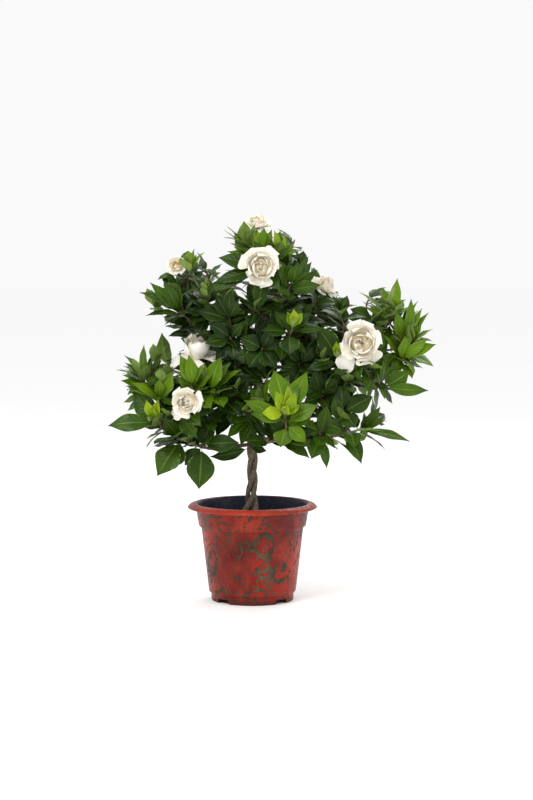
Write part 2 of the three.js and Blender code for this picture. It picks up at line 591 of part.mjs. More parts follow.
function leafPiece(spec) {
  const geometry = blade(spec);
  return { geometry, grown: soup(blade(spec, clearance)), outer: soup(blade(spec, 0, petiole)) };
}

// Takes the first of a leaf's ways to lie that clears everything, or leaves it out
function settle(owner, ways) {
  for (const way of ways) {
    const piece = leafPiece(way);
    if (isClear(piece, owner)) {
      placed.push({ owner, whole: soup(piece.geometry), outer: piece.outer });
      return piece.geometry;
    }
  }
  return null;
}

const ways = {
  sizes: [1, 0.9, 0.78, 0.64], backs: [0, 4, 8],
  swings: [0, -7, 7, -14, 14, 22, -22], rolls: [0, 24, -24, 48, -48],
};

// Every choice of one value from each list, the last list's values first
function* choices(lists) {
  if (lists.length === 0) {
    yield [];
    return;
  }
  for (const value of lists[0]) for (const rest of choices(lists.slice(1))) yield [value, ...rest];
}

// The way a leaf's upper side looks: along its shoot's aim, as far as its own run lets it, then rolled
const faceShare = 0.92;

function faceOf(aim, run, roll) {
  return aim.clone().addScaledVector(run, -faceShare * aim.dot(run)).applyAxisAngle(run, degrees(roll));
}

// A leaf of a given width at full size, with its tip where its size takes it
function leafSpec(root, tip, face, width, size, tone) {
  return {
    root, tip, face, width: (width * (1 + size)) / 2, arch: tone.arch, lean: 0, twist: tone.twist,
    outline: leafOutline, thick: leafThick,
  };
}

// A large leaf keeps its place seen from the front: it starts lower on its shoot, swings back or forward,
// rolls or shrinks
function* waysOfTip(spray, rootAt, tip, width, tone) {
  const aim = vec(spray.aim).normalize();
  for (const [size, back, swing, roll] of choices([ways.sizes, ways.backs, ways.swings, ways.rolls])) {
    const root = rootAt(back);
    const end = root.clone().lerp(tip, size).add(vec([0, swing, 0]));
    const run = end.clone().sub(root).normalize();
    yield leafSpec(root, end, faceOf(aim, run, roll), broader * width, size, tone);
  }
}

const spreads = { polars: [0, 14, -14, 28, -28], turns: [0, 18, -18, 36, -36, 54], rolls: [0, 28, -28] };

// A filling leaf stands round the shoot by rule: it turns, leans, rolls or shrinks
function* waysOfFill(spray, root, turn, polar, length, tone) {
  const aim = vec(spray.aim).normalize();
  const east = eastOf(aim);
  const trials = choices([ways.sizes, spreads.polars, spreads.turns, spreads.rolls]);
  for (const [size, lean, swing, roll] of trials) {
    const outward = east.clone().applyAxisAngle(aim, degrees(turn + swing));
    const tilt = degrees(polar + lean);
    const run = outward.clone().multiplyScalar(Math.sin(tilt)).addScaledVector(aim, Math.cos(tilt));
    const tip = root.clone().addScaledVector(run, length * size);
    yield leafSpec(root, tip, faceOf(aim, run, roll), usualWidth * length, size, tone);
  }
}

// How a leaf bows and twists
const archRange = [0.05, 0.12];
const twistRange = [-15, 15];

function between([low, high]) {
  return low + (high - low) * random();
}

function toneOf() {
  return { arch: between(archRange), twist: degrees(between(twistRange)) };
}

// Where a shoot ends: under its bloom's calyx, or at its rosette
function shootEnd(spray) {
  const aim = vec(spray.aim).normalize();
  if (!spray.bloom) return { end: vec(spray.at), aim };
  const bloom = blooms.find((one) => one.name === spray.bloom);
  const facing = vec(bloom.facing).normalize();
  return { end: bloomBack(bloom).addScaledVector(facing, -calyxLength - gap), aim: facing };
}

// Places on the stems from which a shoot may grow, the nearest and lowest first. seat is the shoot's own
// distance from a limb's centre line, where the limb's flat side lies further in.
const footing = { count: 18, lowest: 205, climbCost: 1.5, freeClimb: 12, endGain: 22 };

function footings(target, seat) {
  const list = [];
  const runs = [...Object.entries(strands), ...Object.entries(limbs)];
  for (const [name, curve] of runs) {
    const radius = seat ?? (strands[name] ? strandRadius : limbRadius);
    for (let step = 1; step <= footing.count; step += 1) {
      const place = step / footing.count;
      const centre = curve.getPointAt(place);
      if (centre.z < footing.lowest) continue;
      const forward = curve.getTangentAt(place);
      const atEnd = step === footing.count;
      const away = target.clone().sub(centre);
      const across = away.clone().addScaledVector(forward, -away.dot(forward));
      const out = atEnd ? forward.clone() : across.normalize();
      const start = centre.clone().addScaledVector(out, atEnd ? gap : radius + gap);
      const climb = footing.climbCost * Math.max(0, centre.z - target.z + footing.freeClimb);
      list.push({ start, out, cost: away.length() + climb - (atEnd ? footing.endGain : 0) });
    }
  }
  return list.sort((one, other) => one.cost - other.cost);
}

// A point on the straight steps that a bar is made of
function stepPoint(shoot, place) {
  const points = shoot.curve.getSpacedPoints(shoot.steps);
  const step = Math.min(Math.floor(place * shoot.steps), shoot.steps - 1);
  return points[step].clone().lerp(points[step + 1], place * shoot.steps - step);
}

const twigShape = { sides: 3, bend: 0.36, step: 20, fewest: 2, clearance: 0.12 };
const forkPlaces = [0.55, 0.7, 0.4, 0.85, 0.25];

function twigCurve(start, out, end, aim) {
  const reach = start.distanceTo(end) * twigShape.bend;
  const first = start.clone().addScaledVector(out, reach);
  const second = end.clone().addScaledVector(aim, -reach);
  return new THREE.CubicBezierCurve3(start, first, second, end);
}

// A shoot grows from the stems, or from another shoot of its node, by the first way that is clear
function growTwig(spray, owner, parent) {
  const { end, aim } = shootEnd(spray);
  const options = parent ? forkPlaces.map((place) => ({
    start: stepPoint(parent, place), out: parent.curve.getTangentAt(place),
  })) : footings(end, spray.seat);
  for (const option of options) {
    const curve = twigCurve(option.start, option.out, end, aim);
    const steps = Math.max(twigShape.fewest, Math.round(curve.getLength() / twigShape.step));
    const twig = bar(curve, twigRadius, twigShape.sides, steps);
    const grown = soup(bar(curve, twigRadius + twigShape.clearance, twigShape.sides, steps));
    if (isClear({ grown, outer: null }, owner)) return { curve, steps, twig };
  }
  return null;
}

const group = new THREE.Group();
group.name = 'gardenia';

function addPart(name, geometry, material) {
  const mesh = new THREE.Mesh(geometry, material);
  mesh.name = name;
  group.add(mesh);
}

const materials = {
  pot: new THREE.MeshStandardMaterial({ color: colours.pot, roughness: 0.45, metalness: 0 }),
  soil: new THREE.MeshStandardMaterial({ color: colours.soil, roughness: 0.95, metalness: 0 }),
  stems: new THREE.MeshStandardMaterial({ color: colours.stems, roughness: 0.85, metalness: 0 }),
  leaf: new THREE.MeshStandardMaterial({ color: colours.leaf, roughness: 0.35, metalness: 0 }),
  fresh: new THREE.MeshStandardMaterial({ color: colours.fresh, roughness: 0.38, metalness: 0 }),
  young: new THREE.MeshStandardMaterial({ color: colours.young, roughness: 0.4, metalness: 0 }),
  bloom: new THREE.MeshStandardMaterial({ color: colours.bloom, roughness: 0.55, metalness: 0 }),
};

addPart('pot', makePot(), materials.pot);
addPart('soil', makeSoil(), materials.soil);
addPart('stems', makeStems(), materials.stems);
for (const bloom of blooms) addPart(bloom.name, makeBloom(bloom), materials.bloom);

// Twigs first, so that leaves make room for them. A bloom's calyx is sunk into its twig.
const calyx = { sink: 3, footRadius: 0.5, topRadius: 3.6, sides: 3 };
const shoots = new Map();
for (const spray of sprays) {
  const owner = spray.on ?? spray.name;
  const parent = spray.on ? shoots.get(spray.on) : null;
  const shoot = growTwig(spray, owner, parent);
  if (!shoot) throw new Error(`no way for the shoot of ${spray.name}`);
  keep(shoot.twig, owner);
  const parts = [shoot.twig];
  if (spray.bloom) {
    const { end, aim } = shootEnd(spray);
    const foot = end.clone().addScaledVector(aim, -calyx.sink);
    const top = calyxLength + calyx.sink;
    const profile = [[0, 0], [calyx.footRadius, 0], [calyx.topRadius, top], [0, top]];
    const cone = turned(profile, calyx.sides, foot, aim);
    keep(cone, owner);
    parts.push(cone);
  }
  shoots.set(spray.name, { curve: shoot.curve, steps: shoot.steps, parts, owner });
}

// Young rosettes stand on their shoots' ends
const rosetteParts = new Map();
const bud = { height: 6, shoulder: 4, topRadius: 1.3, sides: 5, leafHeight: 2.2 };
for (const spray of sprays) {
  const tips = rosettes[spray.name];
  if (!tips) continue;
  const owner = spray.name.replace('spray', 'young');
  const aim = vec(spray.aim).normalize();
  const foot = vec(spray.at).addScaledVector(aim, gap);
  const profile = [[0, 0], [twigRadius, 0], [bud.topRadius, bud.shoulder], [0, bud.height]];
  const shootBud = turned(profile, bud.sides, foot, aim);
  keep(shootBud, owner);
  const parts = [shootBud];
  for (const [x, y, z, width] of tips) {
    const rootAt = () => foot.clone().addScaledVector(aim, bud.leafHeight);
    const tip = vec(spray.at).add(vec([x, y, z]));
    const leaf = settle(owner, waysOfTip(spray, rootAt, tip, width, toneOf()));
    if (leaf) parts.push(leaf);
  }
  rosetteParts.set(owner, parts);
}

// Large leaves, in whorls of three down the shoot
const whorl = { count: 3, first: 3, step: 6, slip: 1.5, lowest: 0.2 };
const frontFirst = [...sprays].sort((one, other) => one.at[1] - other.at[1]);
for (const spray of frontFirst) {
  const shoot = shoots.get(spray.name);
  const length = shoot.curve.getLength();
  const aim = vec(spray.aim).normalize();
  const fromAim = ([x, y, z]) => vec([x, y, z]).angleTo(aim);
  [...spray.tips].sort((one, other) => fromAim(one) - fromAim(other)).forEach(([x, y, z, width], index) => {
    const fromEnd = whorl.first + whorl.step * Math.floor(index / whorl.count)
      + whorl.slip * (index % whorl.count);
    const rootAt = (back) => stepPoint(shoot, Math.max(whorl.lowest, 1 - (fromEnd + back) / length));
    const tip = vec(spray.at).add(vec([x, y, z]));
    const leaf = settle(shoot.owner, waysOfTip(spray, rootAt, tip, width, toneOf()));
    if (leaf) shoot.parts.push(leaf);
  });
}

// Filling leaves round the rest of each shoot
const filling = { turn: 137.5, first: 3, step: 3.5, lowest: 0.15, polar: 40, polarEach: 9, polarSpread: 12 };
const fillSizes = [0.85, 1.15];
for (const spray of frontFirst) {
  const shoot = shoots.get(spray.name);
  const length = shoot.curve.getLength();
  const first = spray.tips.length;
  for (let index = 0; index < spray.fill; index += 1) {
    const fromEnd = filling.first + filling.step * (first + index);
    const root = stepPoint(shoot, Math.max(filling.lowest, 1 - fromEnd / length));
    const turn = filling.turn * index + 360 * random();
    const polar = filling.polar + filling.polarEach * index + filling.polarSpread * random();
    const size = (spray.reach ?? usualReach) * between(fillSizes);
    const leaf = settle(shoot.owner, waysOfFill(spray, root, turn, polar, size, toneOf()));
    if (leaf) shoot.parts.push(leaf);
  }
}

for (const spray of sprays) {
  if (spray.on) continue;
  const parts = sprays.filter((one) => (one.on ?? one.name) === spray.name)
    .flatMap((one) => shoots.get(one.name).parts);
  addPart(spray.name, geometryOf(joined(parts)), spray.fresh ? materials.fresh : materials.leaf);
}
for (const [name, parts] of rosetteParts) addPart(name, geometryOf(joined(parts)), materials.young);

export default group;
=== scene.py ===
import json
import math
from bisect import bisect_right
from itertools import product

import bpy
import numpy as np
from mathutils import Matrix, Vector
from mathutils.bvhtree import BVHTree
from mathutils.kdtree import KDTree
from mathutils.noise import noise

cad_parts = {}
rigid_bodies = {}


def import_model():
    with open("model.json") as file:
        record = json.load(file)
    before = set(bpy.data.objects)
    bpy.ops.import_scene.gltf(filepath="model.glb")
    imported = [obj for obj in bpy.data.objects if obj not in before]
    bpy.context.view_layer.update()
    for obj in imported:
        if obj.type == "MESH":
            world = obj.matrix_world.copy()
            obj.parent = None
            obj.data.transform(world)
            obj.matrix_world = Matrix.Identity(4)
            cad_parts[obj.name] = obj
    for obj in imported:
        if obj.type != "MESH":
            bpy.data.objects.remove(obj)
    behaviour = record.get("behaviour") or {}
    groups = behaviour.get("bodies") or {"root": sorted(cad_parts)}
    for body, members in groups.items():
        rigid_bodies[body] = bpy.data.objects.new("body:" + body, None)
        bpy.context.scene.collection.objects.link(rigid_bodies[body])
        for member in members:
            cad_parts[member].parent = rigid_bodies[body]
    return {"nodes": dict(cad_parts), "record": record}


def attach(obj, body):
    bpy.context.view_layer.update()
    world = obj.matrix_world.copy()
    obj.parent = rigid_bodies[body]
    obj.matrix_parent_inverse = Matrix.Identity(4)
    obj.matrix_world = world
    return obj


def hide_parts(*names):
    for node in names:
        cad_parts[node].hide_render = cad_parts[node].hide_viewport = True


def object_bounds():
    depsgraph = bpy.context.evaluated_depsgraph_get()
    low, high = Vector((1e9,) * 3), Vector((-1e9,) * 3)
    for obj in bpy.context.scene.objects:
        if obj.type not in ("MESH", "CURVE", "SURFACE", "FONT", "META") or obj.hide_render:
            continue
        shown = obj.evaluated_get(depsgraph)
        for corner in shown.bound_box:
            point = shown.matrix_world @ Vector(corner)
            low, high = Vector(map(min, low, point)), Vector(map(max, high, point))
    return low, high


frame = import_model()
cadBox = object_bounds()
mm = 0.001
print("frame loaded:", len(frame["nodes"]), "solids")

# Camera, floor and light

view = dict(distance=2.924, side=0.0195, height=0.518, pitch=4.7, focal=2125, frameHeight=800)
studio = dict(
    world=0.95, floorSize=30, floorWhite=0.99, floorRoughness=0.9,
    # name, place, what it points at, size and power of each lamp
    lamps=[
        ("key", (-1.1, -1.6, 1.9), (0, 0, 0.3), (0.9, 1.2), 30),
        ("fill", (1.7, -1.0, 0.8), (0, 0, 0.25), (0.5, 1.6), 7),
        ("back", (0.6, 1.5, 1.6), (0, 0, 0.4), (1.2, 0.8), 14),
    ],
)


def makeCamera():
    camera = bpy.data.objects.new("camera", bpy.data.cameras.new("camera"))
    camera.data.sensor_fit = 'VERTICAL'
    camera.data.sensor_height = 24
    camera.data.lens = view["focal"] / view["frameHeight"] * camera.data.sensor_height
    camera.data.clip_end = 100
    camera.location = (view["side"], -view["distance"], view["height"])
    camera.rotation_euler = (math.radians(90 - view["pitch"]), 0, 0)
    bpy.context.scene.collection.objects.link(camera)
    bpy.context.scene.camera = camera


def makeLight(name, place, target, size, power):
    light = bpy.data.objects.new(name, bpy.data.lights.new(name, 'AREA'))
    light.data.shape = 'RECTANGLE'
    light.data.size, light.data.size_y = size
    light.data.energy = power
    light.location = place
    light.rotation_euler = (Vector(target) - Vector(place)).to_track_quat('-Z', 'Y').to_euler()
    bpy.context.scene.collection.objects.link(light)


def makeStudio():
    world = bpy.data.worlds.new("studio")
    world.use_nodes = True
    background = world.node_tree.nodes["Background"]
    background.inputs["Color"].default_value = (1, 1, 1, 1)
    background.inputs["Strength"].default_value = studio["world"]
    bpy.context.scene.world = world
    bpy.context.scene.view_settings.view_transform = 'Standard'
    for lamp in studio["lamps"]:
        makeLight(*lamp)
    half = studio["floorSize"] / 2
    mesh = bpy.data.meshes.new("floor")
    corners = [(-half, -half, 0), (half, -half, 0), (half, half, 0), (-half, half, 0)]
    mesh.from_pydata(corners, [], [(0, 1, 2, 3)])
    floor = bpy.data.objects.new("floor", mesh)
    paint = bpy.data.materials.new("floor_white")
    paint.use_nodes = True
    shader = paint.node_tree.nodes["Principled BSDF"]
    shader.inputs["Base Color"].default_value = (studio["floorWhite"],) * 3 + (1,)
    shader.inputs["Roughness"].default_value = studio["floorRoughness"]
    mesh.materials.append(paint)
    bpy.context.scene.collection.objects.link(floor)


makeCamera()
makeStudio()
print("camera and studio ready")

# The plant's plan, in millimetres: the same places as its solids have

gap = 0.35
soilTop = 114
strandFeet = 96
strandRadius = 3.3
limbRadius = 2.2
twigRadius = 1.8
calyxLength = 7
seed = 20

strand = dict(fork=240, pointStep=9, firstTurn=200, turnHeight=95, upright=8, lean=3, spread=4.2, flare=5,
              flareHeight=14, pinch=1.3, pinchAt=222, pinchHeight=9)
strandEnds = [[-5, 7, 254], [4, 1, 258], [12, 5, 252]]

limbPoints = {
    "left": [[-3, 6, 246], [-18, 18, 275], [-40, 28, 305], [-60, 32, 335], [-76, 24, 365], [-89, 4, 390]],
    "middle": [[4, 1, 250], [4, 2, 300], [4, 2, 345], [6, 2, 390], [12, 2, 430], [14, -2, 452]],
    "right": [[9, 5, 246], [42, 12, 282], [84, 16, 315], [125, 8, 345], [165, 2, 362], [190, 0, 385]],
    "lowLeft": [[-3, 0, 216], [-22, -14, 215], [-44, -32, 213], [-68, -44, 217], [-98, -52, 230],
        [-122, -52, 243]],
    "lowRight": [[4, 0, 222], [24, -22, 226], [56, -44, 226], [90, -54, 228], [120, -46, 234],
        [141, -34, 238]],
    "front": [[3, -1, 218], [10, -32, 221], [24, -66, 226], [38, -94, 233], [44, -106, 240]],
    "midLeft": [[-2, 3, 240], [-20, -12, 262], [-40, -34, 280], [-56, -52, 288]],
    "backLeft": [[0, 5, 232], [-22, 45, 262], [-46, 82, 310], [-60, 100, 350]],
    "backRight": [[4, 5, 236], [34, 48, 272], [66, 84, 322], [84, 98, 372]],
    "backLow": [[1, 4, 222], [3, 48, 242], [0, 88, 272], [-4, 108, 296]],
    "upperRight": [[44, 12, 284], [66, 22, 330], [78, 26, 370], [88, 34, 402]],
    "innerRight": [[4, 2, 362], [20, -10, 385], [38, -24, 408], [50, -30, 430]],
    "backTop": [[6, 3, 385], [2, 18, 420], [0, 32, 455], [4, 40, 488]],
    "midRight": [[84, 16, 315], [104, -8, 314], [122, -28, 316], [136, -36, 328]],
}

blooms = [
    dict(name="bloom_front", at=[11, -52, 462], facing=[0.06, -0.97, 0.1], size=27, kind="open", roll=20),
    dict(name="bloom_right", at=[147, -62, 360], facing=[-0.12, -0.96, 0.12], size=31, kind="open", roll=50),
    dict(name="bloom_left", at=[-88, -88, 282], facing=[-0.2, -0.95, 0.1], size=23, kind="open", roll=10),
    dict(name="bloom_side", at=[-76, -24, 349], facing=[-0.05, -0.3, 0.95], size=32, kind="cup", roll=0),
    dict(name="bloom_top", at=[6, 40, 521], facing=[0, -0.5, 0.86], size=18, kind="small", roll=30),
    dict(name="bloom_back", at=[101, 50, 434], facing=[0.55, -0.4, 0.73], size=20, kind="small", roll=0),
    dict(name="bloom_upper_left", at=[-104, -2, 462], facing=[-0.1, -0.85, 0.5], size=14, kind="bud", roll=0),
]

# tips are x, y and z from the shoot's end and a leaf's width, fill the leaves added by rule,
# young the rosette's leaves in the same way
sprays = [
    dict(name="spray_top", at=[8, -3, 470], aim=[-0.2, -0.4, 1], tips=[[-33, 0, 38, 20], [-17, -8, 32, 18],
         [-2, 4, 42, 17], [19, 14, 42, 15], [-42, -2, 12, 16]], fill=1, fresh=True, reach=40, tone=0.66,
         young=[[-1, -2, 46, 9], [6, -6, 42, 8]]),
    dict(name="spray_top_right", on="spray_top", at=[34, -5, 473], aim=[0.2, -0.5, 1],
         tips=[[-22, -9, 38, 16], [4, 4, 38, 15], [14, -8, 28, 16], [24, 6, 20, 14], [36, 10, 10, 12],
         [28, -4, -8, 18]], fill=0, tone=0.62, young=[[-4, -6, 38, 11], [11, 0, 32, 8]]),
    dict(name="spray_front", at=[-2, -22, 436], aim=[0, -0.8, 0.5], bloom="bloom_front",
         tips=[[-44, -6, 38, 21], [-50, -8, 4, 18], [-60, -4, -10, 15], [10, -14, -34, 18]], fill=2,
         tone=0.42),
    dict(name="spray_upper_right", at=[54, -35, 440], aim=[0.3, -0.7, 0.6], tips=[[18, 5, 36, 16],
         [7, -14, 28, 18], [-5, -12, 27, 15], [27, 8, 28, 12], [35, 2, 18, 14], [39, -12, -2, 16],
         [-18, 0, 8, 14], [-4, -10, -24, 17]], fill=2, tone=0.44),
    dict(name="spray_right_shoulder", at=[84, -2, 408], aim=[0.7, -0.4, 0.5], tips=[[36, 0, 3, 18],
         [32, -10, -8, 18], [22, 15, 12, 16], [42, -10, -34, 17], [-40, -6, 8, 16]], fill=3, tone=0.36),
    dict(name="spray_back_bloom", at=[90, 42, 412], aim=[0.4, 0.2, 0.9], bloom="bloom_back", tips=[], fill=4,
         reach=44, tone=0.36),
    dict(name="spray_back_top", at=[4, 44, 494], aim=[0, 0.1, 1], bloom="bloom_top", tips=[[-26, 8, 14, 16],
         [28, 6, 6, 15], [-14, 22, 6, 15], [16, 24, 8, 15]], fill=0, tone=0.45),
    dict(name="spray_middle_right", at=[54, -55, 378], aim=[0.1, -0.7, 0.7], tips=[[-3, -8, -34, 24],
         [-42, -5, -2, 19], [46, -5, 0, 12], [-24, 6, 24, 16], [24, 8, 22, 15]], fill=2, tone=0.42,
         young=[[-7, -8, 24, 12], [2, -6, 28, 12], [14, -6, 22, 12]]),
    dict(name="spray_left_shoulder", at=[-100, -12, 400], aim=[-0.4, -0.5, 0.8], tips=[[-40, -8, 40, 14],
         [-19, -15, 42, 15], [1, -14, 38, 17], [22, -10, 16, 18], [-55, 2, 26, 15], [-46, -4, -6, 13],
         [-20, -6, -18, 14]], fill=2, tone=0.44),
    dict(name="spray_upper_left", at=[-98, 5, 447], aim=[-0.1, -0.4, 1], bloom="bloom_upper_left",
         tips=[[10, -6, 36, 13], [27, 4, 28, 15], [20, -12, 2, 12], [-32, -5, -4, 15], [28, 6, -10, 14]],
         fill=1, reach=34, tone=0.46),
    dict(name="spray_left_inner", at=[-62, -6, 412], aim=[0.1, -0.4, 1], tips=[[-24, -4, 14, 15],
         [14, -10, 14, 17], [30, -4, -6, 14], [-20, -14, -20, 15]], fill=2, tone=0.42, young=[[-6, -4, 24, 7],
         [0, 0, 26, 7], [10, -2, 22, 10]]),
    dict(name="spray_side_bloom", at=[-86, -20, 322], aim=[-0.3, -0.4, 0.8], bloom="bloom_side",
         tips=[[-22, 18, 42, 22], [-34, 10, 10, 18], [26, 22, 22, 16]], fill=2, tone=0.42),
    dict(name="spray_front_left", at=[-82, -75, 302], aim=[0, -0.3, 1], fresh=True, tips=[[-15, -6, 42, 17],
         [-3, 0, 43, 15], [19, -5, 32, 11], [-24, 6, 22, 14]], fill=1, tone=0.66),
    dict(name="spray_front_centre", at=[-56, -70, 294], aim=[0.2, -0.3, 1], fresh=True,
         tips=[[15, -8, 48, 22], [28, 0, 40, 18], [42, 2, 30, 17], [-14, -4, 36, 10], [30, -14, 6, 18]],
         fill=1, tone=0.62),
    dict(name="spray_left_bloom", at=[-84, -52, 280], aim=[-0.2, -0.7, 0.4], bloom="bloom_left",
         tips=[[34, -8, -14, 18], [22, 0, -26, 18], [-26, 8, 18, 16], [-10, -4, -34, 17], [10, 14, 26, 16]],
         fill=2, tone=0.42),
    dict(name="spray_far_left", at=[-146, -10, 307], aim=[-0.5, -0.3, 0.9], fresh=True,
         tips=[[-3, -2, 47, 13], [18, 8, 50, 20], [28, 13, 46, 12], [-30, -4, 33, 11], [-31, -10, 18, 13],
         [-33, 5, 5, 12], [-34, -6, -1, 13], [10, -14, 30, 16]], fill=1, tone=0.64),
    dict(name="spray_left_fresh", at=[-127, -47, 284], aim=[0, -0.6, 0.9], fresh=True,
         tips=[[-37, -6, 21, 14], [19, 0, 36, 23], [2, -12, 28, 12], [-14, 12, 24, 14]], fill=1, tone=0.66),
    dict(name="spray_low_left", at=[-131, -50, 251], aim=[-0.4, -0.8, 0.5], tips=[[-29, 2, 40, 26],
         [-65, -2, -5, 23], [22, 6, 22, 16]], fill=1, tone=0.46, young=[[-12, -12, 32, 13], [5, -10, 32, 12],
         [-2, -16, 24, 10]]),
    dict(name="spray_hanging_left", at=[-98, -60, 228], aim=[-0.3, -0.8, 0.2], tips=[[-30, -8, -48, 34],
         [-8, 10, -38, 26], [10, 6, 26, 16]], fill=1, tone=0.4),
    dict(name="spray_hanging_centre", at=[-70, -58, 222], aim=[0.1, -0.9, 0.3], tips=[[-2, -8, -60, 33],
         [53, -8, 3, 21], [16, 10, 30, 17], [-22, 14, -30, 20]], fill=1, tone=0.38),
    dict(name="spray_trunk", at=[-4, -16, 213], aim=[-0.1, -0.95, 0.25], tips=[[-54, -14, -10, 19],
         [24, -6, -4, 10]], fill=1, tone=0.36),
    dict(name="spray_centre", at=[44, -108, 266], aim=[0, -0.8, 0.5], fresh=True, tips=[[-15, 8, 58, 28],
         [30, 12, 56, 22], [19, -4, 40, 15], [-55, -2, 20, 19], [-46, -14, 3, 17], [44, -6, 14, 20],
         [-6, -8, -42, 22], [28, -8, -36, 17]], fill=0, tone=0.62, young=[[-13, -16, 34, 15],
         [3, -14, 42, 14], [13, -18, 34, 13], [21, -18, 14, 13], [-31, -14, 4, 17], [4, -24, 16, 12]]),
    dict(name="spray_low_middle", at=[92, -68, 242], aim=[0.2, -0.6, 0.5], tips=[[-12, -8, -38, 22],
         [9, 2, -52, 12], [20, 6, -25, 9], [-22, -12, 8, 20], [32, -6, -2, 12]], fill=2, tone=0.46),
    dict(name="spray_low_right", at=[150, -30, 241], aim=[0.6, -0.4, 0.5], tips=[[25, 0, 30, 12],
         [2, -8, 24, 13], [32, 5, 18, 9], [66, -4, -18, 15], [-12, 6, 22, 14]], fill=1, tone=0.46),
    dict(name="spray_hanging_right", at=[124, -44, 238], aim=[0.2, -0.8, 0.4], tips=[[26, -6, -46, 20],
         [-24, -6, 14, 22]], fill=1, tone=0.44),
    dict(name="spray_right_dark", at=[124, -46, 268], aim=[0.3, -0.8, 0.4], tips=[[40, 2, 18, 23],
         [16, -8, -24, 24], [-6, -10, 34, 20], [-34, -4, 12, 20]], fill=2, tone=0.38),
    dict(name="spray_right_low", at=[182, -36, 296], aim=[0.6, -0.5, 0.4], tips=[[32, -6, 24, 22],
         [58, -4, -2, 16], [-2, -4, -14, 9], [-4, -8, 42, 16], [16, -2, 38, 14], [-14, -14, 24, 15]], fill=2,
         tone=0.48),
    dict(name="spray_right_bloom", at=[156, -28, 346], aim=[0, -0.9, 0.2], bloom="bloom_right",
         tips=[[34, 6, 18, 18], [-8, 8, 46, 18], [30, -6, -24, 18]], fill=3, tone=0.46),
    dict(name="spray_right_inner", at=[118, -42, 336], aim=[-0.2, -0.7, 0.6], tips=[[-30, 0, 46, 25],
         [-14, -8, 28, 14], [-44, -2, -14, 16], [4, -14, -22, 18], [-8, 10, -34, 16]], fill=2, tone=0.42,
         young=[[-4, -12, 26, 10], [6, -10, 20, 8]]),
    dict(name="spray_right_back", at=[164, -14, 390], aim=[-0.5, -0.4, 0.5], tips=[[-30, -2, 14, 18],
         [-37, 4, 2, 16], [-20, -10, -6, 12]], fill=2, tone=0.42),
    dict(name="spray_right_top", at=[191, 0, 393], aim=[0, -0.2, 1], fresh=True, tips=[[-12, -5, 40, 14],
         [9, -2, 52, 14], [-44, 2, 33, 13], [-34, -5, 20, 12], [-36, -10, 12, 12], [18, -5, 22, 13],
         [-2, -12, 30, 12]], fill=1, tone=0.68),
    dict(name="spray_far_right", at=[214, -6, 362], aim=[0.3, -0.3, 1], fresh=True, tips=[[4, -4, 56, 14],
         [15, 9, 52, 9], [20, 5, 42, 9], [30, -6, 36, 11], [-18, -6, 38, 18], [11, -14, 24, 14]], fill=1,
         tone=0.66),
    dict(name="spray_right_fresh", on="spray_far_right", at=[205, -26, 332], aim=[0.4, -0.7, 0.6], fresh=True,
         tips=[[46, -2, 24, 15], [34, -6, 32, 13], [3, -8, 36, 18], [-26, -4, 36, 14], [-14, -8, -16, 14]],
         fill=1, tone=0.64),
    dict(name="spray_middle", at=[14, -48, 352], aim=[0.1, -0.9, 0.3], tips=[[-19, -8, -26, 24],
         [32, 2, 10, 12], [-30, -4, 14, 20], [14, -6, 26, 14], [20, -8, -28, 16]], fill=2, tone=0.36),
    dict(name="spray_middle_left", at=[-30, -42, 366], aim=[-0.2, -0.8, 0.5], tips=[[-26, -4, 18, 18],
         [-34, -6, -8, 20], [18, -8, 20, 14], [6, -10, -30, 20], [-20, 6, -34, 18]], fill=2, tone=0.36),
    dict(name="spray_left_centre", on="spray_middle_left", at=[-32, -30, 396], aim=[-0.2, -0.7, 0.7],
         tips=[[-44, -6, 6, 20], [14, -8, 22, 13], [22, -8, -2, 13], [-18, 4, 26, 17], [4, -8, 34, 16]],
         fill=1, tone=0.36),
    dict(name="spray_centre_left", at=[-24, -50, 296], aim=[0, -0.9, 0.3], tips=[[-22, -6, 28, 22],
         [22, -6, 20, 22], [-16, -10, -14, 14], [-30, 4, 4, 20], [10, -8, -34, 18]], fill=2),
    dict(name="spray_inner_right", at=[64, -30, 330], aim=[0.2, -0.8, 0.4], tips=[[20, -2, 24, 14],
         [16, -8, -10, 20], [-12, -8, -30, 20], [-26, -4, 12, 16], [-20, 4, 30, 16]], fill=2),
    dict(name="spray_inner_low", at=[92, -44, 292], aim=[0, -0.9, 0.3], tips=[[-30, -2, 20, 18],
         [26, 2, 18, 17], [-8, -8, 30, 18], [-22, -6, -14, 16], [18, -8, -20, 18]], fill=1),
    dict(name="spray_back_left", reach=56, at=[-66, 112, 366], aim=[-0.4, 0.7, 0.6], tips=[], fill=7),
    dict(name="spray_back_right", reach=56, at=[92, 108, 384], aim=[0.4, 0.7, 0.6], tips=[], fill=7),
    dict(name="spray_back_low", reach=56, at=[-6, 122, 304], aim=[0, 0.9, 0.3], tips=[], fill=7),
    dict(name="spray_back_middle", at=[12, 96, 410], aim=[0, 0.6, 0.8], tips=[], fill=7),
    dict(name="spray_back_far_left", at=[-118, 64, 318], aim=[-0.7, 0.5, 0.5], tips=[], fill=7),
    dict(name="spray_back_far_right", at=[150, 66, 326], aim=[0.7, 0.5, 0.5], tips=[], fill=7),
    dict(name="spray_back_upper_left", seat=1.4, at=[-66, 58, 432], aim=[-0.4, 0.4, 0.9], tips=[], fill=7),
]

# Lines and directions


def vec(values):
    return np.array(values, float)


def unit(direction):
    return direction / np.linalg.norm(direction)


def turnAbout(direction, axis, angle):
    side = np.cross(axis, direction)
    along = axis * np.dot(axis, direction)
    return direction * math.cos(angle) + side * math.sin(angle) + along * (1 - math.cos(angle))


def eastOf(direction):
    level = vec([1, 0, 0]) if abs(direction[2]) > 0.9 else vec([0, 0, 1])
    return unit(np.cross(level, direction))


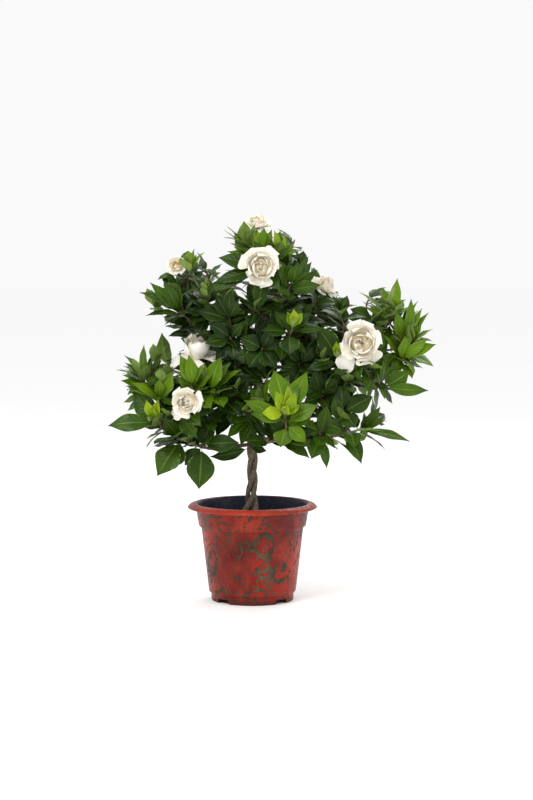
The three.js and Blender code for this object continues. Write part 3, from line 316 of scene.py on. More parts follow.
def catmullRom(points):
    points = [vec(point) for point in points]
    last = len(points) - 1

    def pointAt(place):
        index = min(int(last * place), last - 1)
        w = last * place - index
        b, c = points[index], points[index + 1]
        a = points[index - 1] if index > 0 else 2 * b - c
        d = points[index + 2] if index + 2 <= last else 2 * c - b
        ab, bc, cd = (np.dot(q - p, q - p) ** 0.25 for p, q in ((a, b), (b, c), (c, d)))
        m = ((b - a) / ab - (c - a) / (ab + bc) + (c - b) / bc) * bc
        n = ((c - b) / bc - (d - b) / (bc + cd) + (d - c) / cd) * bc
        return b + m * w + (3 * (c - b) - 2 * m - n) * w ** 2 + (2 * (b - c) + m + n) * w ** 3

    return pointAt


def bezier(*points):
    def pointAt(place):
        line = list(points)
        while len(line) > 1:
            line = [p + (q - p) * place for p, q in zip(line, line[1:])]
        return line[0]

    return pointAt


lineMarks = 200


class Line:
    # a curve with places given as shares of its length
    def __init__(self, pointAt):
        self.pointAt = pointAt
        marks = np.array([pointAt(step / lineMarks) for step in range(lineMarks + 1)])
        self.marks = np.concatenate([[0], np.cumsum(np.linalg.norm(np.diff(marks, axis=0), axis=1))])
        self.length = self.marks[-1]

    def place(self, share):
        target = share * self.length
        index = min(max(bisect_right(self.marks, target) - 1, 0), lineMarks - 1)
        start, end = self.marks[index:index + 2]
        return (index + (target - start) / (end - start)) / lineMarks

    def at(self, share):
        return self.pointAt(self.place(share))

    def tangent(self, share):
        place = self.place(share)
        return unit(self.pointAt(min(place + 1e-4, 1)) - self.pointAt(max(place - 1e-4, 0)))

    # the point at a share of the straight steps that the solid's shoot has in place of the curve
    def stepPoint(self, share, steps):
        index = min(int(share * steps), steps - 1)
        start, end = self.at(index / steps), self.at((index + 1) / steps)
        return start + (end - start) * (share * steps - index)


def strandPoints(index):
    points = []
    for height in range(strandFeet, strand["fork"], strand["pointStep"]):
        above = max(0, height - soilTop - strand["upright"])
        turn = math.radians(120 * index + strand["firstTurn"] + 360 * above / strand["turnHeight"])
        flare = strand["flare"] * math.exp(-above / strand["flareHeight"])
        pinch = strand["pinch"] * math.exp(-((height - strand["pinchAt"]) / strand["pinchHeight"]) ** 2)
        spread = strand["spread"] + flare - pinch
        lean = strand["lean"] * (math.sin(above / (strand["fork"] - soilTop) * math.pi) - 1)
        points.append([spread * math.cos(turn) + lean, spread * math.sin(turn), height])
    return points + [strandEnds[index]]


strands = [Line(catmullRom(strandPoints(index))) for index in range(3)]
limbs = {name: Line(catmullRom(points)) for name, points in limbPoints.items()}
bloomOf = {bloom["name"]: bloom for bloom in blooms}
coreDepth = 0.45


def bloomBack(bloom):
    return vec(bloom["at"]) - unit(vec(bloom["facing"])) * bloom["size"] * coreDepth


# The plant's rule of growth: a seeded stream, and the ways in which a leaf may lie


def randomStream(start):
    state = start

    def draw():
        nonlocal state
        state = (state + 0x6d2b79f5) & 0xffffffff
        mixed = (state ^ (state >> 15)) * (1 | state) & 0xffffffff
        mixed = (mixed + ((mixed ^ (mixed >> 7)) * (61 | mixed) & 0xffffffff)) & 0xffffffff ^ mixed
        return (mixed ^ (mixed >> 14)) / 4294967296

    return draw


random = randomStream(seed)
leafOutline = [(0.36, 0.92), (0.7, 0.8)]
leafThick = 1.3
petiole = 0.14
usualReach = 48
usualWidth = 0.45
broader = 1.12
faceShare = 0.92
leafSizes = [1, 0.9, 0.78, 0.64]
tipWays = dict(backs=[0, 4, 8], swings=[0, -7, 7, -14, 14, 22, -22], rolls=[0, 24, -24, 48, -48])
fillWays = dict(polars=[0, 14, -14, 28, -28], turns=[0, 18, -18, 36, -36, 54], rolls=[0, 28, -28])
whorl = dict(count=3, first=3, step=6, slip=1.5, lowest=0.2)
filling = dict(turn=137.5, first=3, step=3.5, lowest=0.15, polar=40, polarEach=9, polarSpread=12)


def between(low, high):
    return low + (high - low) * random()


def drawBend():
    return dict(arch=between(0.05, 0.12), twist=math.radians(between(-15, 15)))


def faceOf(aim, run, roll):
    return turnAbout(aim - run * faceShare * np.dot(aim, run), run, math.radians(roll))


def leafSpec(root, tip, face, width, size, bend):
    return dict(root=root, tip=tip, face=face, width=width * (1 + size) / 2, **bend)


def waysOfTip(aim, rootAt, tip, width, bend):
    ways = product(leafSizes, tipWays["backs"], tipWays["swings"], tipWays["rolls"])
    for size, back, swing, roll in ways:
        root = rootAt(back)
        end = root + (tip - root) * size + vec([0, swing, 0])
        yield leafSpec(root, end, faceOf(aim, unit(end - root), roll), broader * width, size, bend)


def waysOfFill(aim, root, turn, polar, length, bend):
    east = eastOf(aim)
    ways = product(leafSizes, fillWays["polars"], fillWays["turns"], fillWays["rolls"])
    for size, lean, swing, roll in ways:
        outward = turnAbout(east, aim, math.radians(turn + swing))
        tilt = math.radians(polar + lean)
        run = outward * math.sin(tilt) + aim * math.cos(tilt)
        face = faceOf(aim, run, roll)
        yield leafSpec(root, root + run * length * size, face, usualWidth * length, size, bend)


def spineOf(spec):
    run = spec["tip"] - spec["root"]
    across = unit(spec["face"] - run * np.dot(spec["face"], run) / np.dot(run, run))
    bend = (spec["root"] + spec["tip"]) / 2 + across * 2 * spec["arch"] * np.linalg.norm(run)
    return bend, across


# Frames along a leaf: where its midrib runs, and its forward, side and up directions there
def leafFrames(spec, places):
    bend, across = spineOf(spec)
    t = np.array(places, float)[:, None]
    centre = (1 - t) ** 2 * spec["root"] + 2 * (1 - t) * t * bend + t ** 2 * spec["tip"]
    forward = (1 - t) * (bend - spec["root"]) + t * (spec["tip"] - bend)
    forward /= np.linalg.norm(forward, axis=1)[:, None]
    side = np.cross(across, forward)
    side /= np.linalg.norm(side, axis=1)[:, None]
    side = side * np.cos(spec["twist"] * t) + np.cross(forward, side) * np.sin(spec["twist"] * t)
    return centre, side, np.cross(forward, side)


def bladeCorners(spec):
    centre, side, up = leafFrames(spec, [place for place, share in leafOutline])
    half = np.array([[share * spec["width"] / 2] for place, share in leafOutline])
    return np.concatenate([centre + side * half, centre + up * leafThick, centre - side * half])


# What grew: each solid's own corners tell which way was taken


def cornersOf(node):
    mesh = frame["nodes"][node].data
    points = np.empty(len(mesh.vertices) * 3)
    mesh.vertices.foreach_get("co", points)
    return points.reshape(-1, 3) / mm


def treeOf(points):
    tree = KDTree(len(points))
    for index, point in enumerate(points):
        tree.insert(point, index)
    tree.balance()
    return tree


corners = {node: cornersOf(node) for node in frame["nodes"]}
trees = {node: treeOf(points) for node, points in corners.items()}
sameCorner = 0.06
enoughCorners = 3
allCorners = 6


def found(tree, point):
    return tree.find(point)[2] < sameCorner


# The way whose blade has the most corners on the node's solid, or None
def grownWay(node, ways):
    best, most = None, enoughCorners
    for spec in ways:
        if not found(trees[node], spec["tip"]):
            continue
        score = sum(found(trees[node], corner) for corner in bladeCorners(spec))
        if score > most:
            best, most = spec, score
        if score == allCorners:
            break
    return best


woodSteps = 18
twigBend = 0.36
twigStep = 20
forkShares = (0.55, 0.7, 0.4, 0.85, 0.25)
rosetteFoot = 2.2


# How many of the solid's corners stand round a point as a twig's ring does
def ringCount(node, centre):
    away = np.linalg.norm(corners[node] - centre, axis=1)
    return int((np.abs(away - twigRadius) < sameCorner).sum())


def shootEnd(spray):
    if not spray.get("bloom"):
        return vec(spray["at"]), unit(vec(spray["aim"]))
    bloom = bloomOf[spray["bloom"]]
    facing = unit(vec(bloom["facing"]))
    return bloomBack(bloom) - facing * (calyxLength + gap), facing


# Where a shoot may start: at each step of each strand and limb, on the side towards its end
def footings(target, seat):
    woods = [(line, strandRadius) for line in strands] + [(line, limbRadius) for line in limbs.values()]
    for curve, radius in woods:
        for step in range(1, woodSteps + 1):
            centre, forward = curve.at(step / woodSteps), curve.tangent(step / woodSteps)
            away = target - centre
            atEnd = step == woodSteps
            out = forward if atEnd else unit(away - forward * np.dot(away, forward))
            yield centre + out * (gap if atEnd else (seat or radius) + gap), out


def twigLine(start, out, end, aim):
    reach = np.linalg.norm(end - start) * twigBend
    return Line(bezier(start, start + out * reach, end - aim * reach, end))


def stepsOf(line):
    return max(2, math.floor(line.length / twigStep + 0.5))


def growShoot(spray, node, parent):
    end, aim = shootEnd(spray)
    if parent:
        options = [(parent["line"].stepPoint(share, parent["steps"]), parent["line"].tangent(share))
                   for share in forkShares]
    else:
        options = [option for option in footings(end, spray.get("seat")) if ringCount(node, option[0]) >= 3]
    lines = [(twigLine(start, out, end, aim), out) for start, out in options]

    def score(option):
        steps = stepsOf(option[0])
        return sum(ringCount(node, option[0].at(step / steps)) for step in range(steps + 1))

    line, out = max(lines, key=score)
    return dict(line=line, out=out, steps=stepsOf(line), node=node, leaves=[], spray=spray, parent=parent)


shoots = {}
for spray in sprays:
    parent = shoots[spray["on"]] if spray.get("on") else None
    shoots[spray["name"]] = growShoot(spray, spray.get("on", spray["name"]), parent)

youngLeaves = {}
for spray in sprays:
    aim = unit(vec(spray["aim"]))
    foot = vec(spray["at"]) + aim * (gap + rosetteFoot)
    node = spray["name"].replace("spray", "young")
    for x, y, z, width in spray.get("young", []):
        tip = vec(spray["at"]) + vec([x, y, z])
        leaf = grownWay(node, waysOfTip(aim, lambda back: foot, tip, width, drawBend()))
        youngLeaves.setdefault(node, []).append(leaf)

frontFirst = sorted(sprays, key=lambda spray: spray["at"][1])
for spray in frontFirst:
    shoot = shoots[spray["name"]]
    line, steps = shoot["line"], shoot["steps"]
    aim = unit(vec(spray["aim"]))
    ordered = sorted(spray["tips"], key=lambda tip: -np.dot(unit(vec(tip[:3])), aim))
    for index, (x, y, z, width) in enumerate(ordered):
        level, slip = divmod(index, whorl["count"])
        fromEnd = whorl["first"] + whorl["step"] * level + whorl["slip"] * slip

        def rootAt(back):
            return line.stepPoint(max(whorl["lowest"], 1 - (fromEnd + back) / line.length), steps)

        tip = vec(spray["at"]) + vec([x, y, z])
        leaf = grownWay(shoot["node"], waysOfTip(aim, rootAt, tip, width, drawBend()))
        shoot["leaves"].append(leaf)

for spray in frontFirst:
    shoot = shoots[spray["name"]]
    line, steps = shoot["line"], shoot["steps"]
    aim = unit(vec(spray["aim"]))
    for index in range(spray["fill"]):
        fromEnd = filling["first"] + filling["step"] * (len(spray["tips"]) + index)
        root = line.stepPoint(max(filling["lowest"], 1 - fromEnd / line.length), steps)
        turn = filling["turn"] * index + 360 * random()
        polar = filling["polar"] + filling["polarEach"] * index + filling["polarSpread"] * random()
        length = spray.get("reach", usualReach) * between(0.85, 1.15)
        leaf = grownWay(shoot["node"], waysOfFill(aim, root, turn, polar, length, drawBend()))
        shoot["leaves"].append(leaf)


def leavesOf(shoots):
    return [leaf for shoot in shoots for leaf in shoot["leaves"] if leaf is not None]


print("leaves found on the solids:", len(leavesOf(shoots.values())))

# Materials


def setStops(elements, stops):
    while len(elements) < len(stops):
        elements.new(0.5)
    for element, (place, code) in zip(elements, stops):
        element.position = place
        element.color = colour(code)


class Shade:
    # wraps a socket of a material's node tree; arithmetic on it adds Math nodes
    def __init__(self, tree, socket=None):
        self.tree = tree
        self.socket = socket

    def node(self, kind, settings=None, inputs=None, output=0):
        made = self.tree.nodes.new(kind)
        for name, value in (settings or {}).items():
            if name == "stops":
                setStops(made.color_ramp.elements, value)
            else:
                setattr(made, name, value)
        for name, value in (inputs or {}).items():
            if isinstance(value, Shade):
                self.tree.links.new(value.socket, made.inputs[name])
            else:
                made.inputs[name].default_value = value
        return Shade(self.tree, made.outputs[output])

    def math(self, operation, first, second=0.0):
        return self.node('ShaderNodeMath', {"operation": operation}, {0: first, 1: second})

    def __add__(self, other):
        return self.math('ADD', self, other)

    def __sub__(self, other):
        return self.math('SUBTRACT', self, other)

    def __rsub__(self, other):
        return self.math('SUBTRACT', other, self)

    def __mul__(self, other):
        return self.math('MULTIPLY', self, other)

    __radd__ = __add__
    __rmul__ = __mul__

    def __abs__(self):
        return self.math('ABSOLUTE', self)

    def step(self, low, high):
        return self.node('ShaderNodeMapRange', {"interpolation_type": 'SMOOTHSTEP'},
                         {"Value": self, "From Min": low, "From Max": high})

    def blend(self, first, second):
        return self.node('ShaderNodeMix', {"data_type": 'RGBA'}, {0: self, 6: first, 7: second}, output=2)

    def ramp(self, stops):
        return self.node('ShaderNodeValToRGB', {"stops": stops}, {"Fac": self})

    def noise(self, place, scale, detail=2.0, distortion=0.0):
        return self.node('ShaderNodeTexNoise', {"noise_dimensions": '3D'},
                         {"Vector": place, "Scale": scale, "Detail": detail, "Distortion": distortion})

    def cells(self, place, scale):
        return self.node('ShaderNodeTexVoronoi', {"feature": 'F1'}, {"Vector": place, "Scale": scale})

    def larger(self, other):
        return self.math('MAXIMUM', self, other)

    def place(self):
        return self.node('ShaderNodeTexCoord', output=3)

    def growth(self):
        return self.node('ShaderNodeUVMap', {"uv_map": "growth"})

    def named(self, attribute):
        return self.node('ShaderNodeAttribute', {"attribute_name": attribute}, output=2)

    def parts(self, vector):
        split = self.node('ShaderNodeSeparateXYZ', inputs={"Vector": vector})
        return [Shade(self.tree, socket) for socket in split.socket.node.outputs]


def colour(hexCode):
    # a colour from its sRGB code
    values = [int(hexCode[index:index + 2], 16) / 255 for index in (1, 3, 5)]
    return tuple(v / 12.92 if v <= 0.04045 else ((v + 0.055) / 1.055) ** 2.4 for v in values) + (1,)


def startMaterial(name, fixed=()):
    material = bpy.data.materials.new(name)
    material.use_nodes = True
    tree = material.node_tree
    shader = tree.nodes["Principled BSDF"]
    for socket, value in fixed:
        shader.inputs[socket].default_value = value
    return material, Shade(tree), shader


def finishMaterial(shade, shader, base, roughness, height, bumpDepth):
    tree = shade.tree
    tree.links.new(base.socket, shader.inputs["Base Color"])
    tree.links.new(roughness.socket, shader.inputs["Roughness"])
    bump = shade.node('ShaderNodeBump', inputs={"Height": height, "Distance": bumpDepth, "Strength": 1.0})
    tree.links.new(bump.socket, shader.inputs["Normal"])


leafLooks = dict(
    stops=[(0.0, '#071002'), (0.3, '#142804'), (0.55, '#385606'), (0.78, '#688a08'), (1.0, '#a8b920')],
    vein='#a3bd5a', rim='#6f9440', under='#4f7028', underPale='#8fa850', underVein='#9db27c', pairs=9,
    slant=2.1, roughness=0.33, underRoughness=0.55, coat=0.1, coatRoughness=0.22, specular=0.11,
    underSpecular=0.2, bumpDepth=0.0007,
)


# The pattern of a leaf: u across it and v along it, with its midrib and curved side veins
def leafPattern(shade):
    u, v = shade.parts(shade.growth())[:2]
    side = abs(u * 2 - 1)
    bent = v * leafLooks["pairs"] - side * leafLooks["slant"] + side * side * 0.6
    wave = shade.math('PINGPONG', bent, 0.5) * 2
    veins = wave.step(0.78, 1.0) * (1 - side.step(0.8, 1.0))
    midrib = 1 - side.step(0.03, 0.1)
    return midrib, veins, wave, side


def leafMaterial():
    material, shade, shader = startMaterial("leaf_upper", [
        ("Coat Weight", leafLooks["coat"]), ("Coat Roughness", leafLooks["coatRoughness"]),
        ("Specular IOR Level", leafLooks["specular"])])
    midrib, veins, wave, side = leafPattern(shade)
    spot = shade.place()
    cloud = shade.noise(spot, 45)
    fine = shade.noise(spot, 700, 3)
    tone = shade.named("tone") + (cloud - 0.5) * 0.22 + (fine - 0.5) * 0.08 + midrib * 0.1 + veins * 0.02
    base = tone.ramp(leafLooks["stops"])
    lighter = midrib * 0.12 + veins * 0.03
    base = lighter.blend(base, colour(leafLooks["vein"]))
    base = (side.step(0.93, 1.0) * 0.35).blend(base, colour(leafLooks["rim"]))
    roughness = leafLooks["roughness"] + (cloud - 0.5) * 0.16 + veins * 0.08 + (fine - 0.5) * 0.06
    height = wave * -0.5 - veins * 0.4 - midrib * 0.7 + fine * 0.12
    finishMaterial(shade, shader, base, roughness, height, leafLooks["bumpDepth"])
    return material


def leafUnderMaterial():
    fixed = [("Specular IOR Level", leafLooks["underSpecular"])]
    material, shade, shader = startMaterial("leaf_under", fixed)
    midrib, veins = leafPattern(shade)[:2]
    cloud = shade.noise(shade.place(), 60)
    tone = shade.named("tone") * 0.5 + 0.35 + (cloud - 0.5) * 0.15
    base = (1 - tone).step(0.0, 1.0).blend(colour(leafLooks["underPale"]), colour(leafLooks["under"]))
    base = (midrib * 0.8 + veins * 0.5).blend(base, colour(leafLooks["underVein"]))
    roughness = leafLooks["underRoughness"] + (cloud - 0.5) * 0.1
    finishMaterial(shade, shader, base, roughness, midrib + veins * 0.5, leafLooks["bumpDepth"])
    return material


barkLooks = dict(dark='#3b3027', pale='#8a7a66', red='#6b4632', green='#5b6b2c', streaks=9, roughness=0.85,
                 bumpDepth=0.0012)


def barkMaterial():
    material, shade, shader = startMaterial("bark")
    u, v = shade.parts(shade.growth())[:2]
    places = {"X": u * barkLooks["streaks"], "Y": v * 1.6, "Z": 0.0}
    streak = shade.node('ShaderNodeCombineXYZ', inputs=places)
    grain = shade.noise(streak, 2.2, 4, 0.4)
    spot = shade.place()
    cloud = shade.noise(spot, 55, 3)
    fine = shade.noise(spot, 420, 4)
    ridges = (grain * 0.75 + fine * 0.35).step(0.35, 0.75)
    base = ridges.blend(colour(barkLooks["dark"]), colour(barkLooks["pale"]))
    thin = shade.named("tone")
    base = (thin.step(0.15, 0.6) * (0.35 + cloud * 0.5)).blend(base, colour(barkLooks["red"]))
    base = (thin.step(0.75, 1.0) * 0.8).blend(base, colour(barkLooks["green"]))
    roughness = barkLooks["roughness"] - thin * 0.25 + (fine - 0.5) * 0.1
    finishMaterial(shade, shader, base, roughness, grain + fine * 0.5, barkLooks["bumpDepth"])
    return material


petalLooks = dict(white='#fcf6e6', cream='#f3dcaa', warm='#e4bf84', shade='#f1e2bd', roughness=0.5,
                  bumpDepth=0.0005, glow=0.4, glowDepth=0.004, glowTint=(1, 0.95, 0.85), sheen=0.15)


def petalMaterial():
    material, shade, shader = startMaterial("petal", [
        ("Subsurface Weight", petalLooks["glow"]), ("Subsurface Scale", petalLooks["glowDepth"]),
        ("Subsurface Radius", petalLooks["glowTint"]), ("Sheen Weight", petalLooks["sheen"])])
    u, v = shade.parts(shade.growth())[:2]
    lines = shade.node('ShaderNodeCombineXYZ', inputs={"X": u * 26, "Y": v * 2.5, "Z": 0.0})
    vein = shade.noise(lines, 1.0, 2, 0.3)
    cloud = shade.noise(shade.place(), 90)
    warmth = shade.named("tone") + (cloud - 0.5) * 0.18 + (vein - 0.5) * 0.1
    base = warmth.step(0.1, 0.75).blend(colour(petalLooks["white"]), colour(petalLooks["cream"]))
    base = (warmth.step(0.7, 1.15) * 0.8).blend(base, colour(petalLooks["warm"]))
    base = ((1 - vein.step(0.3, 0.55)) * 0.22).blend(base, colour(petalLooks["shade"]))
    roughness = petalLooks["roughness"] + (vein - 0.5) * 0.15
    finishMaterial(shade, shader, base, roughness, vein + cloud * 0.4, petalLooks["bumpDepth"])
    return material


potLooks = dict(
    red='#921c0e', deep='#560b06', coral='#b8442c', patch='#2f3a28', patchPale='#4f5f48', patchDark='#171d16',
    # inside is the near-black navy painted as shade on the pot's inner wall
    inside='#062c42', footShade='#2e120c', roughness=0.38, coat=0.12, coatRoughness=0.25, specular=0.14,
    bumpDepth=0.0006, blotches=75, flakes=240, ringsPerMetre=26,
    # the ring-shaped blotches seen on the front: place across, height, half width and half height, in metres
    rings=[(-0.054, 0.056, 0.006, 0.0165), (0.016, 0.084, 0.0125, 0.0165)],
)


def potMaterial():
    material, shade, shader = startMaterial("pot_mottled", [
        ("Coat Weight", potLooks["coat"]), ("Coat Roughness", potLooks["coatRoughness"]),
        ("Specular IOR Level", potLooks["specular"])])
    spot = shade.place()
    x, y, z = shade.parts(spot)
    broad = shade.noise(spot, 14, 3)
    middle = shade.noise(spot, potLooks["blotches"], 5, 0.9)
    fine = shade.noise(spot, potLooks["flakes"], 4, 0.4)
    drift = shade.noise(spot, 22, 4, 0.5)
    swirl = shade.node('ShaderNodeTexNoise', inputs={"Vector": spot, "Scale": 60.0}, output=1)
    push = shade.node('ShaderNodeVectorMath', {"operation": 'SCALE'}, {0: swirl, "Scale": 0.012})
    warped = shade.node('ShaderNodeVectorMath', {"operation": 'ADD'}, {0: spot, 1: push})
    rings = shade.cells(warped, potLooks["ringsPerMetre"])
    ring = rings.step(0.34, 0.37) * (1 - rings.step(0.42, 0.46)) * drift.step(0.46, 0.52)
    patch = (middle * 0.6 + broad * 0.2 + fine * 0.3).step(0.6, 0.63)
    flakes = (fine * 0.8 + middle * 0.3).step(0.6, 0.63)
    mottle = patch.larger(flakes).larger(ring * fine.step(0.36, 0.5))
    front = 1 - y.step(-0.02, -0.01)
    for across, height, halfWide, halfHigh in potLooks["rings"]:
        aside = (x - across) * (1 / halfWide) + (middle - 0.5) * 1.6
        above = (z - height) * (1 / halfHigh) + (fine - 0.5) * 0.9
        reach = aside * aside + above * above
        blotch = reach.step(0.45, 0.7) * (1 - reach.step(1.2, 1.6)) * front * fine.step(0.36, 0.46)
        mottle = mottle.larger(blotch)
    base = broad.step(0.35, 0.65).blend(colour(potLooks["deep"]), colour(potLooks["red"]))
    base = ((1 - drift).step(0.45, 0.75) * 0.45).blend(base, colour(potLooks["coral"]))
    # painted highlight: the crown of the rim, where it faces the lamps, is blended toward coral
    rimHighlight = z.step(0.1262, 0.129)
    base = (rimHighlight * 0.3).blend(base, colour(potLooks["coral"]))
    stain = fine.step(0.35, 0.65).blend(colour(potLooks["patchDark"]), colour(potLooks["patch"]))
    stain = (drift.step(0.5, 0.7) * 0.6).blend(stain, colour(potLooks["patchPale"]))
    # the mottle is faded where the rim's painted highlight lies
    base = (mottle * (1 - rimHighlight * 0.75) * 0.92).blend(base, stain)
    # painted shade: the inner wall, which faces the pot's axis, is painted near-black navy, tinted with the
    # blue-green seen inside the pot
    faceX, faceY = shade.parts(shade.node('ShaderNodeNewGeometry', output=1))[:2]
    inner = 1 - (x * faceX + y * faceY).step(-0.04, -0.01)
    base = (inner * (0.75 + (1 - middle) * 0.3)).blend(base, colour(potLooks["inside"]))
    # darker towards the foot: painted contact shadow where the pot meets the floor, over the dark brown
    # mottling of its foot
    foot = (1 - z.step(0.001, 0.014)) * 0.7
    base = foot.blend(base, colour(potLooks["footShade"]))
    roughness = potLooks["roughness"] + mottle * 0.22 + (fine - 0.5) * 0.1 + inner * 0.15
    height = 0.35 * middle + 0.3 * fine - mottle * 0.5
    finishMaterial(shade, shader, base, roughness, height, potLooks["bumpDepth"])
    return material


soilLooks = dict(dark='#17110c', brown='#4b3a2b', chip='#6d5a45', roughness=0.9, bumpDepth=0.002)


def soilMaterial():
    material, shade, shader = startMaterial("potting_soil")
    spot = shade.place()
    crumbs = shade.cells(spot, 260)
    grain = shade.noise(spot, 420, 5)
    cloud = shade.noise(spot, 70, 3)
    damp = (grain * 0.7 + cloud * 0.4).step(0.35, 0.8)
    base = damp.blend(colour(soilLooks["dark"]), colour(soilLooks["brown"]))
    base = ((1 - crumbs).step(0.75, 0.95) * 0.4).blend(base, colour(soilLooks["chip"]))
    roughness = soilLooks["roughness"] + (grain - 0.5) * 0.1
    finishMaterial(shade, shader, base, roughness, grain - crumbs, soilLooks["bumpDepth"])
    return material


looks = dict(leaf=leafMaterial(), under=leafUnderMaterial(), bark=barkMaterial(), petal=petalMaterial(),
             pot=potMaterial(), soil=soilMaterial())
print("materials ready:", len(looks))

# Shapes, gathered as grids of points and made into one mesh a piece


class Shape:
    def __init__(self):
        self.points, self.faces, self.growths, self.tones, self.kinds = [], [], [], [], []
        self.count = 0

    # grid is rows x columns x 3; growth gives u and v there, tone one value or one a point,
    # kind is the material's place in the piece's list
    def add(self, grid, growth, tone, kind, flip=False):
        rows, columns = grid.shape[:2]
        index = np.arange(rows * columns).reshape(rows, columns) + self.count
        corners = [index[:-1, :-1], index[:-1, 1:], index[1:, 1:], index[1:, :-1]]
        if flip:
            corners.reverse()
        faces = np.stack(corners, axis=-1).reshape(-1, 4)
        self.points.append(grid.reshape(-1, 3))
        self.growths.append(growth.reshape(-1, 2))
        self.tones.append(np.broadcast_to(tone, (rows, columns)).ravel())
        self.faces.append(faces)
        self.kinds.append(np.full(len(faces), kind))
        self.count += rows * columns


# Puts a mesh in the scene as a piece of the part, in place of the solids that it stands for
def placePiece(name, mesh, slot, nodes=()):
    piece = bpy.data.objects.new(name, mesh)
    bpy.context.scene.collection.objects.link(piece)
    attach(piece, "root")
    if nodes:
        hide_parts(*nodes)
    return piece


def makePiece(name, shape, materials, slot, nodes=()):
    faces = np.concatenate(shape.faces)
    growths = np.concatenate(shape.growths)[faces.ravel()]
    mesh = bpy.data.meshes.new(name)
    mesh.vertices.add(shape.count)
    mesh.vertices.foreach_set("co", (np.concatenate(shape.points) * mm).astype(np.float32).ravel())
    mesh.loops.add(faces.size)
    mesh.loops.foreach_set("vertex_index", faces.astype(np.int32).ravel())
    mesh.polygons.add(len(faces))
    mesh.polygons.foreach_set("loop_start", np.arange(0, faces.size, 4, dtype=np.int32))
    mesh.polygons.foreach_set("material_index", np.concatenate(shape.kinds).astype(np.int32))
    mesh.update(calc_edges=True)
    mesh.uv_layers.new(name="growth").data.foreach_set("uv", growths.astype(np.float32).ravel())
    tones = mesh.attributes.new("tone", 'FLOAT', 'POINT')
    tones.data.foreach_set("value", np.concatenate(shape.tones).astype(np.float32))
    for material in materials:
        mesh.materials.append(looks[material])
    mesh.shade_smooth()
    placePiece(name, mesh, slot, nodes)


# Leaves

leafForm = dict(
    columns=[-1, -0.82, -0.5, -0.2, 0, 0.2, 0.5, 0.82, 1], bladeRows=13, widen=1.1, stalkHalf=0.55,
    thick=0.35, rise=0.16, droop=0.12, groove=0.3, keel=0.55, wave=0.07, waves=2.6, above=0.35,
    toneSpread=0.07,
)
leafSlots = ["leaf", "under", "bark"]
leafPlaces = [0, 0.07] + [petiole + (1 - petiole) * row / (leafForm["bladeRows"] - 1)
                          for row in range(leafForm["bladeRows"])]
shift = randomStream(7)


# Half the blade's width as a share of its greatest, from its base to its tip
def leafShare(place):
    s = np.clip((place - petiole) / (1 - petiole), 0, 1)
    return np.sin(np.pi * s ** 0.94) ** (0.82 + 0.4 * s) * (1 - 0.1 * s)


def leafGrids(spec):
    form = leafForm
    centre, side, up = leafFrames(spec, leafPlaces)
    t = np.array(leafPlaces)[:, None]
    u = np.array(form["columns"])[None, :]
    half = np.maximum(leafShare(t) * spec["width"] / 2 * form["widen"], form["stalkHalf"] * (1 - 0.75 * t))
    blade = (t > petiole) * np.clip((t - petiole) * 8, 0, 1)
    phase = 6.28 * shift()
    wave = form["wave"] * np.sin(6.28 * form["waves"] * t + phase + 1.4 * np.sign(u)) * u ** 2 * blade
    rise = half * (form["rise"] * np.abs(u) - form["droop"] * u ** 4 + wave)
    groove = form["groove"] * np.exp(-(u / 0.13) ** 2) * blade * (1 - t)
    height = (rise - groove + form["above"])[..., None]
    top = centre[:, None] + side[:, None] * (half * u)[..., None] + up[:, None] * height
    thick = form["thick"] * (1 - u ** 8) + form["keel"] * np.exp(-(u / 0.1) ** 2) * (1.1 - t)
    bottom = top - up[:, None] * thick[..., None]
    return top, bottom, np.stack(np.broadcast_arrays((u + 1) / 2, t), axis=-1)


def addLeaf(shape, spec, tone):
    top, bottom, growth = leafGrids(spec)
    tone = tone + leafForm["toneSpread"] * (shift() - 0.5)
    shape.add(top, growth, tone, 0, flip=True)
    shape.add(bottom, growth, tone, 1)


# Round stems along a line, with a radius at each share of it
def addStem(shape, pointAt, radiusAt, rows, columns, tone, rough=0.0, start=0.0):
    shares = np.linspace(start, 1, rows)
    points = np.array([pointAt(share) for share in shares])
    forward = np.gradient(points, axis=0)
    forward /= np.linalg.norm(forward, axis=1)[:, None]
    side = eastOf(forward[0])
    grid = np.empty((rows + 2, columns + 1, 3))
    for row in range(rows):
        side = unit(side - forward[row] * np.dot(side, forward[row]))
        up = np.cross(forward[row], side)
        for column in range(columns + 1):
            turn = 2 * math.pi * (column % columns) / columns
            out = side * math.cos(turn) + up * math.sin(turn)
            broad = noise(Vector(points[row] * 0.16 + out * 1.7))
            fine = noise(Vector(points[row] * 0.5 + out * 4))
            bumps = 1 + rough * (broad + 0.5 * fine)
            grid[row + 1, column] = points[row] + out * radiusAt(shares[row]) * bumps
    grid[0] = points[0]
    grid[-1] = points[-1] + forward[-1] * radiusAt(1) * 0.4
    u, v = np.meshgrid(np.linspace(0, 1, columns + 1), np.linspace(0, 1, rows + 2))
    length = np.linalg.norm(np.diff(points, axis=0), axis=1).sum()
    shape.add(grid, np.stack([u, v * length / 12], axis=-1), tone, 2)


usualTone = 0.38
youngTone = 0.86
crown = dict(middle=[0, 0, 330], half=[200, 130, 190], paler=0.16, evenAt=0.75, farthest=1.1)


def middleOf(leaf):
    return (leaf["root"] + leaf["tip"]) / 2


def lift(spec):
    # leaves near the outside of the crown are paler than those within it: the older inner leaves are darker
    # green, and the darkening within the crown is also painted shade
    reach = np.linalg.norm((middleOf(spec) - vec(crown["middle"])) / vec(crown["half"]))
    return crown["paler"] * (min(reach, crown["farthest"]) - crown["evenAt"])


# Extra leaves fill the crown between the planned ones, and keep clear of them
# each is tried against the others as a blade of a few flat faces
def coarse(spec):
    centre, side, up = leafFrames(spec, [petiole, 0.36, 0.7])
    half = leafShare(np.array([[petiole + 0.02], [0.36], [0.7]])) * spec["width"] / 2
    points = np.concatenate([centre + side * half, centre - side * half, [spec["tip"]]])
    return points, [(0, 1, 4, 3), (1, 2, 5, 4), (2, 6, 5)]


